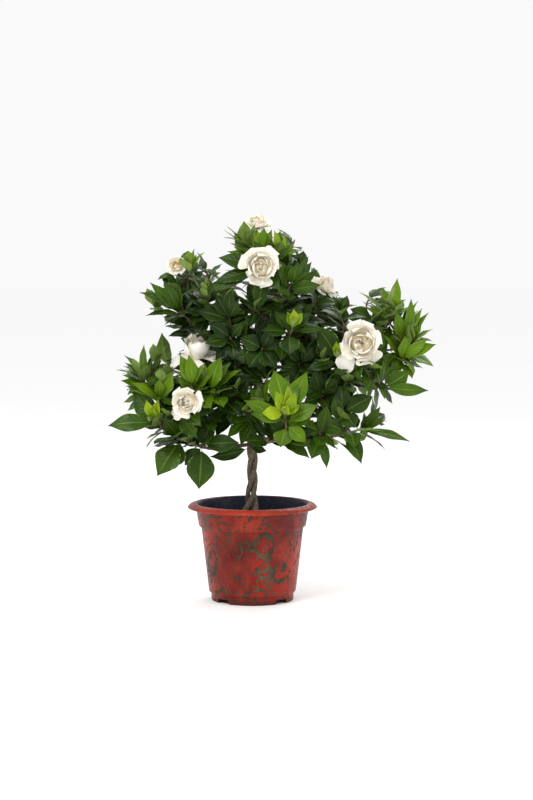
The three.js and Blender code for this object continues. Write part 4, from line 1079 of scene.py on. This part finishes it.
class Crowd:
    def __init__(self):
        self.low, self.high, self.trees = [], [], []

    def add(self, spec):
        points, faces = coarse(spec)
        self.low.append(points.min(axis=0))
        self.high.append(points.max(axis=0))
        self.trees.append(BVHTree.FromPolygons([Vector(point) for point in points], faces))

    def isClear(self, spec):
        points, faces = coarse(spec)
        tree = BVHTree.FromPolygons([Vector(point) for point in points], faces)
        near = (np.array(self.low) < points.max(axis=0)).all(axis=1) & (
            np.array(self.high) > points.min(axis=0)).all(axis=1)
        return not any(self.trees[index].overlap(tree) for index in np.flatnonzero(near))


crowd = Crowd()
for leaf in leavesOf(shoots.values()) + [leaf for leaf in sum(youngLeaves.values(), []) if leaf is not None]:
    crowd.add(leaf)
for bloom in blooms:
    facing = unit(vec(bloom["facing"]))
    east = eastOf(facing)
    back = bloomBack(bloom)
    for turn in range(0, 360, 40):
        outward = turnAbout(east, facing, math.radians(turn))
        for rise in (0.3, 0.6):
            tip = back + (outward * (1.15 - 0.5 * rise) + facing * rise) * bloom["size"]
            crowd.add(dict(root=back, tip=tip, face=facing, width=bloom["size"] * 0.9, arch=0.1, twist=0))

# pairs are a least value and how much the draw may add to it
extra = dict(
    seed=31, onShoot=7, shootReach=46, shootLength=(0.75, 0.4), shootPolar=(58, 20), onLimb=7, limbReach=52,
    limbLength=(0.7, 0.45), limbPolar=(62, 22), turn=137.5, tries=30, sweep=31, sway=16, shrink=0.018,
    lift=0.18, width=(0.42, 0.1), arch=(0.04, 0.06), twist=0.5, lowest=208, inside=3, trunkClear=26,
    trunkTop=262, outlineReach=13, outlineCount=3,
)
outlineSpots = None
draw = randomStream(extra["seed"])
cadLow, cadHigh = (np.array(corner) / mm for corner in cadBox)


def drawn(least, more, stream=draw):
    return least + more * stream()


# Whether a leaf stays in the crown: within the solids' box, off the trunk, and, once outlineSpots is set,
# not past the outline that the planned leaves have from the front
def inCrown(spec):
    tip, middle = spec["tip"], middleOf(spec)
    if (tip < cadLow + extra["inside"]).any() or (tip > cadHigh - extra["inside"]).any():
        return False
    if outlineSpots is not None:
        away = np.hypot(outlineSpots[:, 0] - tip[0], outlineSpots[:, 1] - tip[2])
        if (away < extra["outlineReach"]).sum() < extra["outlineCount"]:
            return False
    trunk = np.hypot(*middle[:2]) < extra["trunkClear"] and middle[2] < extra["trunkTop"]
    return tip[2] >= extra["lowest"] and not trunk


def extraLeaf(root, axis, turn, polar, reach):
    # tries turns and tilts about the axis until one is clear
    east = eastOf(axis)
    for attempt in range(extra["tries"]):
        angle = math.radians(turn + extra["sweep"] * attempt)
        tilt = math.radians(polar + extra["sway"] * math.sin(attempt * 1.9))
        run = turnAbout(east, axis, angle) * math.sin(tilt) + axis * math.cos(tilt)
        run = unit(run + vec([0, 0, extra["lift"]]))
        length = reach * (1 - extra["shrink"] * attempt)
        face = axis * 0.6 + vec([0, -0.25, 0.8])
        spec = dict(root=root, tip=root + run * length, face=face, width=length * drawn(*extra["width"]),
                    arch=drawn(*extra["arch"]), twist=extra["twist"] * (draw() - 0.5))
        if inCrown(spec) and crowd.isClear(spec):
            crowd.add(spec)
            return spec
    return None


for shoot in shoots.values():
    spray, line = shoot["spray"], shoot["line"]
    used = 6 + 4 * len(shoot["leaves"])
    aim = unit(vec(spray["aim"]))
    for index in range(extra["onShoot"]):
        share = 1 - (used * 0.5 + 4 + 5 * index) / line.length
        if share < 0.1:
            break
        axis = unit(line.tangent(share) + aim * 0.5)
        leaf = extraLeaf(line.at(share), axis, 360 * draw(), drawn(*extra["shootPolar"]),
                         extra["shootReach"] * drawn(*extra["shootLength"]))
        shoot["leaves"].append(leaf)

limbLeaves = []
for name, line in limbs.items():
    count = round(line.length / extra["onLimb"])
    first = 0.45 if name.startswith("low") or name == "front" else 0.22
    for index in range(count):
        share = first + (0.98 - first) * (index + draw() * 0.6) / count
        leaf = extraLeaf(line.at(share), line.tangent(share), extra["turn"] * index,
                         drawn(*extra["limbPolar"]), extra["limbReach"] * drawn(*extra["limbLength"]))
        if leaf is not None:
            limbLeaves.append(leaf)
print("extra leaves on limbs:", len(limbLeaves))

# Tufts: short twigs with a close whorl of leaves, where the crown is dense
# reach is a leaf's length, spread how far the whorl opens

tuftKeys = ("at", "aim", "leaves", "reach", "spread", "tone")
tufts = [dict(zip(tuftKeys, row)) for row in [
    ([14, -22, 474], [0, -0.25, 1], 11, 46, 52, 0.64),
    ([34, -6, 474], [0.45, -0.2, 1], 10, 38, 55, 0.6),
    ([-8, 2, 484], [-0.3, -0.1, 1], 10, 44, 55, 0.62),
    ([44, -64, 252], [0, -0.5, 1], 11, 36, 62, 0.72),
    ([16, -58, 272], [-0.5, -0.5, 0.8], 9, 38, 60, 0.6),
    ([60, -24, 450], [0.6, -0.3, 0.9], 9, 36, 60, 0.44),
    ([189, -10, 398], [0, -0.3, 1], 11, 44, 45, 0.66),
    ([206, 12, 372], [0.35, 0, 1], 10, 46, 45, 0.62),
    ([214, -12, 352], [0.5, -0.3, 0.9], 9, 42, 50, 0.64),
    ([206, -8, 332], [0.8, -0.3, 0.6], 9, 42, 50, 0.6),
    ([-150, -24, 306], [-0.6, -0.3, 0.8], 10, 40, 50, 0.58),
    ([-132, -10, 322], [-0.2, -0.1, 1], 9, 38, 45, 0.5),
    ([-116, -34, 300], [-0.1, -0.2, 1], 9, 38, 52, 0.44),
    ([-124, -46, 294], [0.0, -0.3, 1], 8, 34, 58, 0.5),
    ([-84, -8, 452], [0.05, -0.05, 1], 5, 36, 24, 0.72),
    ([-64, -20, 424], [0.1, -0.1, 1], 7, 24, 32, 0.64),
    ([-146, -34, 286], [-0.7, -0.5, 0.5], 9, 38, 55, 0.56),
    ([-72, -58, 292], [-0.1, -0.4, 1], 9, 46, 42, 0.6),
    ([-46, -52, 292], [0.35, -0.4, 1], 9, 44, 45, 0.58),
    ([-100, 0, 424], [-0.5, -0.3, 0.8], 8, 40, 62, 0.4),
    ([-62, -8, 424], [0.2, -0.3, 1], 8, 34, 60, 0.42),
    ([-58, -20, 396], [-0.1, -0.8, 0.5], 9, 40, 70, 0.3),
    ([-36, -24, 366], [0, -0.9, 0.4], 9, 42, 72, 0.3),
    ([-26, -30, 330], [0, -0.9, 0.3], 9, 42, 75, 0.28),
    ([4, -34, 402], [0, -0.9, 0.4], 8, 40, 72, 0.26),
    ([36, -30, 410], [0.2, -0.9, 0.5], 8, 38, 70, 0.3),
    ([66, -24, 384], [0.3, -0.9, 0.4], 9, 40, 70, 0.34),
    ([-18, -46, 290], [-0.2, -0.9, 0.5], 10, 42, 75, 0.4),
    ([-2, -56, 262], [-0.4, -0.9, 0.3], 9, 40, 75, 0.44),
    ([20, -50, 306], [0.1, -0.9, 0.4], 9, 38, 75, 0.3),
    ([100, -44, 296], [0.1, -0.8, 0.4], 9, 40, 75, 0.36),
    ([126, -36, 300], [0.3, -0.7, 0.5], 9, 38, 70, 0.42),
    ([150, -30, 312], [0.5, -0.6, 0.5], 9, 38, 65, 0.46),
    ([98, -36, 330], [-0.2, -0.7, 0.6], 9, 38, 70, 0.4),
    ([120, -30, 392], [0, -0.5, 0.9], 7, 32, 60, 0.4),
    ([-100, -40, 262], [-0.4, -0.7, 0.4], 9, 40, 75, 0.46),
    ([-62, -46, 258], [0, -0.8, 0.4], 8, 40, 75, 0.42),
]]
backTufts = dict(
    seed=77, tries=900, wanted=46, spacing=34, out=(12, 22), reach=40, length=(0.85, 0.3), leaves=8,
    spread=60, low=215, high=505, front=-20, tone=0.4, toneSpread=0.2, middle=[20, 8, 330], beside=26,
    neighbours=5, fewest=4,
)
tuftForm = dict(turn=137.5, turnSpread=40, step=2.1, twig=70, open=14, length=(0.9, 0.25), piece=60000,
                freshFrom=0.55)


def leafSpots(leaf):
    run = leaf["tip"] - leaf["root"]
    return [tuple((leaf["root"] + run * share)[[0, 2]]) for share in (0.2, 0.5, 0.75, 1)]


def nearestWood(point):
    best = None
    for line in list(limbs.values()) + [shoot["line"] for shoot in shoots.values()]:
        for share in np.linspace(0.1, 0.92, 14):
            spot = line.at(share)
            away = np.linalg.norm(spot - point) + 0.6 * max(0, spot[2] - point[2])
            if best is None or away < best[0]:
                best = (away, spot, line.tangent(share))
    return best


def growTuft(tuft):
    foot, aim = vec(tuft["at"]), unit(vec(tuft["aim"]))
    away, wood, along = nearestWood(foot - aim * 14)
    if away > tuftForm["twig"]:
        return None
    made = []
    path = [wood, wood + along * 6, foot - aim * 12, foot + aim * 8]
    twig = bezier(*path)
    length = np.linalg.norm(path[-1] - wood) * 1.1
    for index in range(tuft["leaves"]):
        root = twig(1 - min(0.85, tuftForm["step"] * index / length))
        polar = tuftForm["open"] + tuft["spread"] * (index + 0.5) / tuft["leaves"] * 1.4
        reach = tuft["reach"] * (0.72 + 0.28 * min(1, index / 4)) * drawn(*tuftForm["length"])
        leaf = extraLeaf(root, aim, drawn(tuftForm["turn"] * index, tuftForm["turnSpread"]), polar, reach)
        if leaf is not None:
            made.append(leaf)
    return dict(tuft=tuft, leaves=made, twig=path)


grownTufts = [growTuft(tuft) for tuft in tufts]
print("tufts:", len(tufts), "leaves in them:", sum(len(tuft["leaves"]) for tuft in grownTufts if tuft))

plannedLeaves = leavesOf(shoots.values())
centres = [middleOf(leaf) for leaf in plannedLeaves + limbLeaves]
crownMiddle = vec(backTufts["middle"])
outlineSpots = np.array([spot for leaf in plannedLeaves for spot in leafSpots(leaf)])
seeded = randomStream(backTufts["seed"])
placed = []
for attempt in range(backTufts["tries"]):
    beside = centres[int(seeded() * len(centres))]
    away = unit(vec([seeded() - 0.5, seeded() - 0.25, seeded() - 0.4]))
    spot = beside + away * drawn(*backTufts["out"], seeded)
    if not backTufts["low"] < spot[2] < backTufts["high"] or spot[1] < backTufts["front"]:
        continue
    if placed and np.min(np.linalg.norm(np.array(placed) - spot, axis=1)) < backTufts["spacing"]:
        continue
    gaps = [math.hypot(centre[0] - spot[0], centre[2] - spot[2]) for centre in centres]
    if sum(gap < backTufts["beside"] for gap in gaps) < backTufts["neighbours"]:
        continue
    aim = unit(unit(spot - crownMiddle) + vec([0, 0, 0.45]))
    tone = backTufts["tone"] + backTufts["toneSpread"] * (seeded() - 0.4)
    reach = backTufts["reach"] * drawn(*backTufts["length"], seeded)
    grown = growTuft(dict(at=spot, aim=aim, leaves=backTufts["leaves"], reach=reach,
                          spread=backTufts["spread"], tone=tone))
    if grown and len(grown["leaves"]) >= backTufts["fewest"]:
        placed.append(spot)
        grownTufts.append(grown)
    if len(placed) >= backTufts["wanted"]:
        break
print("tufts at the sides and back:", len(placed))

# Sprays: each shoot's fine stem, leaves and, under a bloom, its calyx

calyxForm = dict(neck=1.0, swell=2.4, sepals=5, length=0.5, width=2.4, spread=0.75, firstSepal=36, tone=0.72)
shootForm = dict(seat=2.3, foot=1.75, footTaper=0.3, radius=1.5, taper=0.4, rough=0.08, tone=0.4,
                 freshTone=0.55, neckTo=0.14, rowEach=5)


def addCalyx(shape, bloom, end, facing):
    back = bloomBack(bloom)
    cup = bezier(end - facing * 2, back + facing * 1.5)
    addStem(shape, cup, lambda share: calyxForm["neck"] + calyxForm["swell"] * share ** 1.5, 6, 10, 1.0)
    east = eastOf(facing)
    for sepal in range(calyxForm["sepals"]):
        turn = bloom["roll"] + calyxForm["firstSepal"] + 360 * sepal / calyxForm["sepals"]
        outward = turnAbout(east, facing, math.radians(turn))
        root = back - facing * 1.0 + outward * 1.6
        tip = root + (outward * calyxForm["spread"] - facing * 0.15) * bloom["size"] * calyxForm["length"]
        spec = dict(root=root, tip=tip, face=facing, width=calyxForm["width"], arch=-0.1, twist=0)
        addLeaf(shape, spec, calyxForm["tone"])


def addShoot(shape, shoot):
    form = shootForm
    spray, line, out = shoot["spray"], shoot["line"], shoot["out"]
    start = line.at(0)
    seat = 0 if shoot["parent"] else form["seat"]
    stem = bezier(start - out * seat, start + out * 2, line.at(form["neckTo"]))
    tone = form["freshTone"] if spray.get("fresh") else form["tone"]
    addStem(shape, stem, lambda share: form["foot"] - form["footTaper"] * share, 5, 8, tone, form["rough"])
    rows = max(6, round(line.length / form["rowEach"]))
    addStem(shape, line.at, lambda share: form["radius"] - form["taper"] * share, rows, 8, tone + 0.1,
            form["rough"], start=0.1)
    if spray.get("bloom"):
        end, facing = shootEnd(spray)
        addCalyx(shape, bloomOf[spray["bloom"]], end, facing)
    for leaf in leavesOf([shoot]):
        addLeaf(shape, leaf, spray.get("tone", usualTone) + lift(leaf) * (0.4 if spray.get("fresh") else 1))


slotOf = {part["node"]: part["material_slot"] for part in frame["record"]["subparts"]}
sprayShapes = {}
for spray in sprays:
    shoot = shoots[spray["name"]]
    addShoot(sprayShapes.setdefault(shoot["node"], Shape()), shoot)
for node, shape in sprayShapes.items():
    makePiece("leaves_" + node, shape, leafSlots, slotOf[node], [node])

# Rosettes: the young leaves on their stalk, round a heart of narrow ones

rosetteForm = dict(stalk=1.25, heart=5, firstTurn=20, low=2, lowEach=0.5, out=5.5, closing=0.6, reach=17,
                   reachEach=2.4, width=6.2, paler=0.1)
for node, leaves in youngLeaves.items():
    spray = shoots[node.replace("young", "spray")]["spray"]
    aim = unit(vec(spray["aim"]))
    foot = vec(spray["at"])
    shape = Shape()
    stalk = bezier(foot - aim * 1.5, foot + aim * 6)
    addStem(shape, stalk, lambda share: rosetteForm["stalk"] * (1 - 0.8 * share ** 2), 7, 8, 1.0)
    for leaf in leaves:
        if leaf is not None:
            addLeaf(shape, leaf, youngTone)
    for index in range(rosetteForm["heart"]):
        turn = 360 / rosetteForm["heart"] * index + rosetteForm["firstTurn"]
        outward = turnAbout(eastOf(aim), aim, math.radians(turn))
        root = foot + aim * (rosetteForm["low"] + rosetteForm["lowEach"] * index)
        tip = foot + outward * (rosetteForm["out"] - rosetteForm["closing"] * index)
        tip = tip + aim * (rosetteForm["reach"] + rosetteForm["reachEach"] * index)
        spec = dict(root=root, tip=tip, face=aim - outward, width=rosetteForm["width"], arch=-0.08, twist=0)
        addLeaf(shape, spec, youngTone + rosetteForm["paler"])
    makePiece("leaves_" + node, shape, leafSlots, slotOf[node], [node])

shape = Shape()
for leaf in limbLeaves:
    addLeaf(shape, leaf, usualTone + lift(leaf) - 0.03)
makePiece("leaves_on_limbs", shape, leafSlots, "leaf")

# the tufts' leaves, shared out among pieces of a like size
tuftShapes = dict(leaf_fresh=[Shape()], leaf=[Shape()])
for grown in grownTufts:
    if not grown or not grown["leaves"]:
        continue
    tuft = grown["tuft"]
    kind = tuftShapes["leaf_fresh" if tuft["tone"] > tuftForm["freshFrom"] else "leaf"]
    if kind[-1].count > tuftForm["piece"]:
        kind.append(Shape())
    addStem(kind[-1], bezier(*grown["twig"]), lambda share: 1.5 - 0.5 * share, 12, 8, 0.5, 0.08)
    for leaf in grown["leaves"]:
        addLeaf(kind[-1], leaf, tuft["tone"] + lift(leaf) * 0.6)
for slot, gathered in tuftShapes.items():
    for index, shape in enumerate(gathered):
        makePiece("tufts_" + slot + "_" + str(index + 1), shape, leafSlots, slot)
print("sprays made:", len(sprayShapes), "rosettes made:", len(youngLeaves))

# Stems: three strands twisted about each other, and the limbs

stemForm = dict(strand=3.35, footSwell=1.6, footHeight=12, limbFoot=2.7, limbEnd=1.6, rough=0.16,
                limbTone=0.25)


def strandRadiusAt(line):
    def radius(share):
        above = line.at(share)[2] - soilTop
        return stemForm["strand"] + stemForm["footSwell"] * math.exp(-max(0, above) / stemForm["footHeight"])

    return radius


shape = Shape()
for line in strands:
    addStem(shape, line.at, strandRadiusAt(line), 90, 14, 0.0, stemForm["rough"])
foot, end = stemForm["limbFoot"], stemForm["limbEnd"]
for line in limbs.values():
    addStem(shape, line.at, lambda share: foot + (end - foot) * share, 50, 10, stemForm["limbTone"],
            stemForm["rough"])
makePiece("trunk_and_limbs", shape, leafSlots, "stems", ["stems"])
print("stems made")

# Blooms: whorls of broad petals wrapped about the bloom's axis, the inner ones upright in a spiral

# out and rise are shares of the bloom's size, wrap how far a petal goes round, flat how level it lies
whorlKeys = ("count", "out", "rise", "wrap", "flat", "curl", "flare", "turn", "warm")


def petalWhorl(*values, **more):
    return dict(zip(whorlKeys, values), **more)


bloomForms = dict(
    open=[
        petalWhorl(3, 0.9, 0.5, 0.8, 0.5, 0.14, 0.0, 0, -0.15, blunt=0.34),
        petalWhorl(4, 0.75, 0.76, 0.8, 0.2, 0.08, 0.0, 45, -0.1),
        petalWhorl(3, 0.62, 0.84, 1.0, 0.0, 0.0, -0.06, 80, 0.05, loose=0.08),
        petalWhorl(3, 0.47, 0.88, 1.0, 0.0, 0.0, -0.14, 12, 0.2, loose=0.12),
        petalWhorl(3, 0.33, 0.92, 1.1, 0.0, 0.0, -0.14, 50, 0.3, loose=0.1),
        petalWhorl(3, 0.2, 0.96, 1.3, 0.0, 0.0, -0.14, 80, 0.35, loose=0.05),
        petalWhorl(2, 0.1, 0.98, 1.8, 0.0, 0.0, -0.06, 20, 0.35),
    ],
    small=[
        petalWhorl(5, 1.02, 0.35, 0.68, 0.75, 0.14, 0.0, 0, 0.0),
        petalWhorl(4, 0.76, 0.66, 0.82, 0.35, 0.1, 0.03, 30, 0.05),
        petalWhorl(3, 0.48, 0.85, 1.1, 0.0, 0.0, -0.05, 10, 0.2),
        petalWhorl(2, 0.25, 0.88, 1.7, 0.0, 0.0, -0.1, 50, 0.4),
    ],
    bud=[
        petalWhorl(5, 0.95, 0.75, 0.78, 0.4, 0.16, 0.06, 0, 0.1),
        petalWhorl(4, 0.62, 1.0, 0.9, 0.1, 0.1, 0.0, 25, 0.25),
        petalWhorl(3, 0.35, 1.1, 1.3, 0.0, 0.0, -0.1, 60, 0.6),
    ],
    cup=[
        petalWhorl(5, 1.06, 0.1, 0.62, 0.8, 0.3, 0.0, 0, -0.1, blunt=0.34),
        petalWhorl(3, 0.5, 0.84, 1.25, 0.0, 0.0, -0.16, 20, -0.1, blunt=0.26,
                   edge=0.14, swell=1.45, tilt=0.05),
        petalWhorl(3, 0.41, 0.9, 1.4, 0.0, 0.0, -0.2, 75, 0.0, blunt=0.26,
                   edge=0.12, swell=1.45, tilt=0.05),
        petalWhorl(3, 0.27, 0.92, 1.5, 0.0, 0.0, -0.14, 30, 0.2, blunt=0.26,
                   edge=0.1, swell=1.45, tilt=0.05),
    ],
)
bloomHearts = dict(
    open=dict(width=0.5, height=0.62, warm=0.45), small=dict(width=0.34, height=0.6, warm=0.4),
    bud=dict(width=0.25, height=0.7, warm=1.0), cup=dict(width=0.3, height=0.6, warm=0.4),
)
petalForm = dict(rows=13, columns=12, thick=0.5, length=(0.88, 0.2), ruffle=0.04, jitter=15, spiral=0.14,
                 loose=0.0, swell=1.2, blunt=0.42, tilt=0.2, edge=0.07)
hangingPetals = dict(
    bloom_right=petalWhorl(1, 1.36, 0.16, 0.42, 0.9, 0.2, 0.0, 231, -0.1),
    bloom_left=petalWhorl(1, 1.12, 0.2, 0.4, 0.9, 0.2, 0.0, 228, -0.1),
)


def axesOf(bloom):
    facing = unit(vec(bloom["facing"]))
    east = eastOf(facing)
    return facing, east, np.cross(facing, east)


# A petal as a grid from its base to its edge, with its u and v and how warm its colour is there
def petalGrid(bloom, angle, whorlForm, size):
    form = {**petalForm, **whorlForm}
    facing, east, north = axesOf(bloom)
    s = np.linspace(0.0, 1, form["rows"])[:, None]
    u = np.linspace(-1, 1, form["columns"])[None, :]
    swing = 6.28 * shift()
    upright = 1 - form["flat"]
    opening = np.sin(np.minimum(s * form["swell"], 1) * math.pi / 2)
    radius = 0.05 + form["out"] * ((1 - upright) * s ** 1.1 + upright * opening)
    radius = radius + form["flare"] * s ** 5 + form["spiral"] * form["out"] * u * upright * s
    rise = 0.06 + form["rise"] * ((1 - upright) * np.sin(s * math.pi / 2) + upright * s ** 1.3)
    rise = rise - form["curl"] * s ** 5 * (1 + 0.5 * u ** 2) + 0.05 * np.abs(u) ** 2 * s * form["flat"]
    rise = rise + form["ruffle"] * np.sin(3 * u + swing) * s ** 3
    radius = radius + form["ruffle"] * np.cos(2.3 * u + swing * 2) * s ** 3
    rise = rise * (1 + form["tilt"] * (2 * shift() - 1))
    radius = radius + form["edge"] * np.abs(u) ** 3 * s ** 2 * (0.4 + form["flat"])
    half = form["wrap"] * np.sin(math.pi * np.clip(s, 0.03, 1) ** 1.35) ** form["blunt"] * np.ones_like(u)
    turn = half * u
    curved = [radius * np.cos(turn), radius * np.sin(turn)]
    level = [radius * np.ones_like(u), np.maximum(radius, 0.4) * turn]
    ahead = upright * curved[0] + form["flat"] * level[0]
    aside = upright * curved[1] + form["flat"] * level[1]
    outward = east * math.cos(angle) + north * math.sin(angle)
    across = np.cross(facing, outward)
    loose = form["loose"] * size * (2 * shift() - 1)
    back = bloomBack(bloom) + loose * (east * math.cos(3 * angle) + north * math.sin(3 * angle))
    grid = back + size * (ahead[..., None] * outward + aside[..., None] * across + rise[..., None] * facing)
    warm = form["warm"] + 0.45 * (1 - s) ** 1.5 - 0.12 * u ** 2 * s
    return grid, np.stack(np.broadcast_arrays((u + 1) / 2, s), axis=-1), warm


def addHeart(shape, bloom):
    # the close-packed heart that the inner petals wrap
    heart = bloomHearts[bloom["kind"]]
    facing, east, north = axesOf(bloom)
    rise = np.linspace(0, math.pi / 2, 8)[:, None, None]
    turn = np.linspace(0, 2 * math.pi, 21)[None, :, None]
    grid = bloomBack(bloom) + bloom["size"] * (
        heart["width"] * np.cos(rise) * (east * np.cos(turn) + north * np.sin(turn))
        + (0.1 + heart["height"] * np.sin(rise)) * facing)
    shape.add(grid, np.zeros((8, 21, 2)), heart["warm"], 0)


def gridNormals(grid):
    along, across = np.gradient(grid, axis=0), np.gradient(grid, axis=1)
    normal = np.cross(across, along)
    return normal / np.maximum(np.linalg.norm(normal, axis=2), 1e-9)[..., None]


def addPetal(shape, bloom, angle, form, size):
    grid, growth, warm = petalGrid(bloom, angle, form, size)
    normal = gridNormals(grid)
    shape.add(grid + normal * petalForm["thick"] / 2, growth, warm, 0)
    shape.add(grid - normal * petalForm["thick"] / 2, growth, warm, 0, flip=True)


for bloom in blooms:
    shape = Shape()
    addHeart(shape, bloom)
    hanging = hangingPetals.get(bloom["name"])
    if hanging:
        addPetal(shape, bloom, math.radians(hanging["turn"]), hanging, bloom["size"])
    for form in bloomForms[bloom["kind"]]:
        for petal in range(form["count"]):
            angle = math.radians(bloom["roll"] + form["turn"] + 360 * petal / form["count"]
                                 + petalForm["jitter"] * (2 * shift() - 1))
            addPetal(shape, bloom, angle, form, bloom["size"] * drawn(*petalForm["length"], shift))
    makePiece("petals_" + bloom["name"], shape, ["petal"], "bloom", [bloom["name"]])
print("blooms made:", len(blooms))

# Pot: one turned shell with rounded corners, with the drainage notches cut out of its foot

rimRadius = 90
potHeight = 135
wall = 2
footRadius = 57
potForm = dict(segments=160, corner=1.4, cornerSteps=4, notches=4, notchDepth=16, notchWidth=20,
               notchHeight=6, firstNotch=45, sharpFrom=32)
boxFaces = [(0, 1, 3, 2), (4, 6, 7, 5), (0, 4, 5, 1), (2, 3, 7, 6), (0, 2, 6, 4), (1, 5, 7, 3)]
potProfile = [
    (0, 0), (footRadius - 1, 0), (footRadius, 1), (footRadius, 10.5), (60.2, 12.5), (70.8, 101.7),
    (73.8, 103.2), (74.7, 106.5), (78.3, 127.4), (88.6, 128.2), (rimRadius, 129.6), (86.5, 133.2),
    (81.6, potHeight), (77.5, potHeight), (75.2, 132.5), (74.7 - wall - 0.4, 106.5), (70.8 - wall, 101.2),
    (60.2 - wall, 14.2), (footRadius - wall, 11.5), (footRadius - wall, 3), (0, 3),
]


def rounded(profile, radius, steps):
    points = [np.array(point, float) for point in profile]
    outline = [points[0]]
    for before, corner, after in zip(points, points[1:], points[2:]):
        reach = min(radius, np.linalg.norm(corner - before) * 0.45, np.linalg.norm(after - corner) * 0.45)
        start = corner + unit(before - corner) * reach
        end = corner + unit(after - corner) * reach
        outline += [bezier(start, corner, end)(step / steps) for step in range(steps + 1)]
    return np.array(outline + [points[-1]])


def meshOf(name, points, faces):
    mesh = bpy.data.meshes.new(name)
    mesh.from_pydata([tuple(value * mm for value in point) for point in points], [], faces)
    return mesh


def turnedMesh(name, outline, segments):
    turns = np.linspace(0, 2 * math.pi, segments, endpoint=False)
    ring = outline[1:-1]
    points = [(0, 0, outline[0][1]), (0, 0, outline[-1][1])]
    points += [(radius * math.cos(turn), radius * math.sin(turn), height) for radius, height in ring
               for turn in turns]

    def at(row, segment):
        return 2 + row * segments + segment % segments

    faces = []
    for segment in range(segments):
        faces.append((0, at(0, segment + 1), at(0, segment)))
        faces.append((1, at(len(ring) - 1, segment), at(len(ring) - 1, segment + 1)))
        for row in range(len(ring) - 1):
            faces.append((at(row, segment), at(row, segment + 1),
                          at(row + 1, segment + 1), at(row + 1, segment)))
    return meshOf(name, points, faces)


def makeCutter(turn):
    x, y, z = potForm["notchDepth"] / 2, potForm["notchWidth"] / 2, potForm["notchHeight"]
    middle = footRadius - 1
    points = []
    for dx, dy, dz in product((-x, x), (-y, y), (-z, z)):
        points.append(((middle + dx) * math.cos(turn) - dy * math.sin(turn),
                       (middle + dx) * math.sin(turn) + dy * math.cos(turn), dz))
    cutter = bpy.data.objects.new("notch", meshOf("notch", points, boxFaces))
    bpy.context.scene.collection.objects.link(cutter)
    return cutter


def makePot():
    outline = rounded(potProfile, potForm["corner"], potForm["cornerSteps"])
    pot = placePiece("pot_shell", turnedMesh("pot_shell", outline, potForm["segments"]), "pot", ["pot"])
    turns = [potForm["firstNotch"] + 360 * index / potForm["notches"] for index in range(potForm["notches"])]
    cutters = [makeCutter(math.radians(turn)) for turn in turns]
    for cutter in cutters:
        cut = pot.modifiers.new("notch", 'BOOLEAN')
        cut.operation = 'DIFFERENCE'
        cut.solver = 'EXACT'
        cut.object = cutter
    bpy.context.view_layer.update()
    shell = bpy.data.meshes.new_from_object(pot.evaluated_get(bpy.context.evaluated_depsgraph_get()))
    pot.modifiers.clear()
    pot.data = shell
    for cutter in cutters:
        bpy.data.objects.remove(cutter)
    shell.materials.clear()
    shell.materials.append(looks["pot"])
    shell.shade_smooth()
    shell.set_sharp_from_angle(angle=math.radians(potForm["sharpFrom"]))


makePot()
print("pot made")

# Soil: a crumbly bed with bits of bark lying on it

soilForm = dict(radius=72, rings=40, turns=110, drop=3.6, roughness=1.3, chips=240, seed=5, stemClear=12,
                chipSize=1.2, chipSpread=2.6, sharpFrom=40)
circle = 6.2832


def soilHeight(x, y):
    away = math.hypot(x, y) / soilForm["radius"]
    coarseBumps = noise(Vector((x * 0.06, y * 0.06, 1))) + 0.5 * noise(Vector((x * 0.2, y * 0.2, 2)))
    return soilTop - soilForm["drop"] * away ** 2 + soilForm["roughness"] * coarseBumps


def makeSoil():
    rings, turns = soilForm["rings"], soilForm["turns"]
    points = [(0, 0, soilHeight(0, 0))]
    for ring in range(1, rings + 1):
        radius = soilForm["radius"] * ring / rings
        for turn in range(turns):
            x, y = radius * math.cos(circle * turn / turns), radius * math.sin(circle * turn / turns)
            points.append((x, y, soilHeight(x, y) + 0.5 * noise(Vector((x, y, 3)))))
    faces = [(0, 1 + turn, 1 + (turn + 1) % turns) for turn in range(turns)]
    for ring in range(rings - 1):
        for turn in range(turns):
            start, after = 1 + ring * turns + turn, 1 + ring * turns + (turn + 1) % turns
            faces.append((start, start + turns, after + turns, after))
    chance = randomStream(soilForm["seed"])
    for chip in range(soilForm["chips"]):
        turn, away = circle * chance(), soilForm["radius"] * 0.95 * math.sqrt(chance())
        x, y = away * math.cos(turn), away * math.sin(turn)
        if math.hypot(x, y) < soilForm["stemClear"]:
            continue
        size = soilForm["chipSize"] + soilForm["chipSpread"] * chance()
        lay = vec([math.cos(9 * chance()), math.sin(9 * chance()), 0.5 * (chance() - 0.5)])
        first = unit(lay)
        second = unit(np.cross(vec([0, 0, 1]), first))
        third = np.cross(first, second)
        middle = vec([x, y, soilHeight(x, y) + 0.4])
        base = len(points)
        for dx, dy, dz in product((-1, 1), (-1, 1), (-1, 1)):
            bump = 0.7 + 0.6 * chance()
            out = first * dx * 1.5 + second * dy * 0.9 + third * dz * 0.4
            points.append(tuple(middle + out * size * bump * 0.6))
        faces += [tuple(base + corner for corner in face) for face in boxFaces]
    mesh = meshOf("soil_bed", points, faces)
    mesh.materials.append(looks["soil"])
    mesh.shade_smooth()
    mesh.set_sharp_from_angle(angle=math.radians(soilForm["sharpFrom"]))
    placePiece("soil_bed", mesh, "soil", ["soil"])


makeSoil()
print("soil made")

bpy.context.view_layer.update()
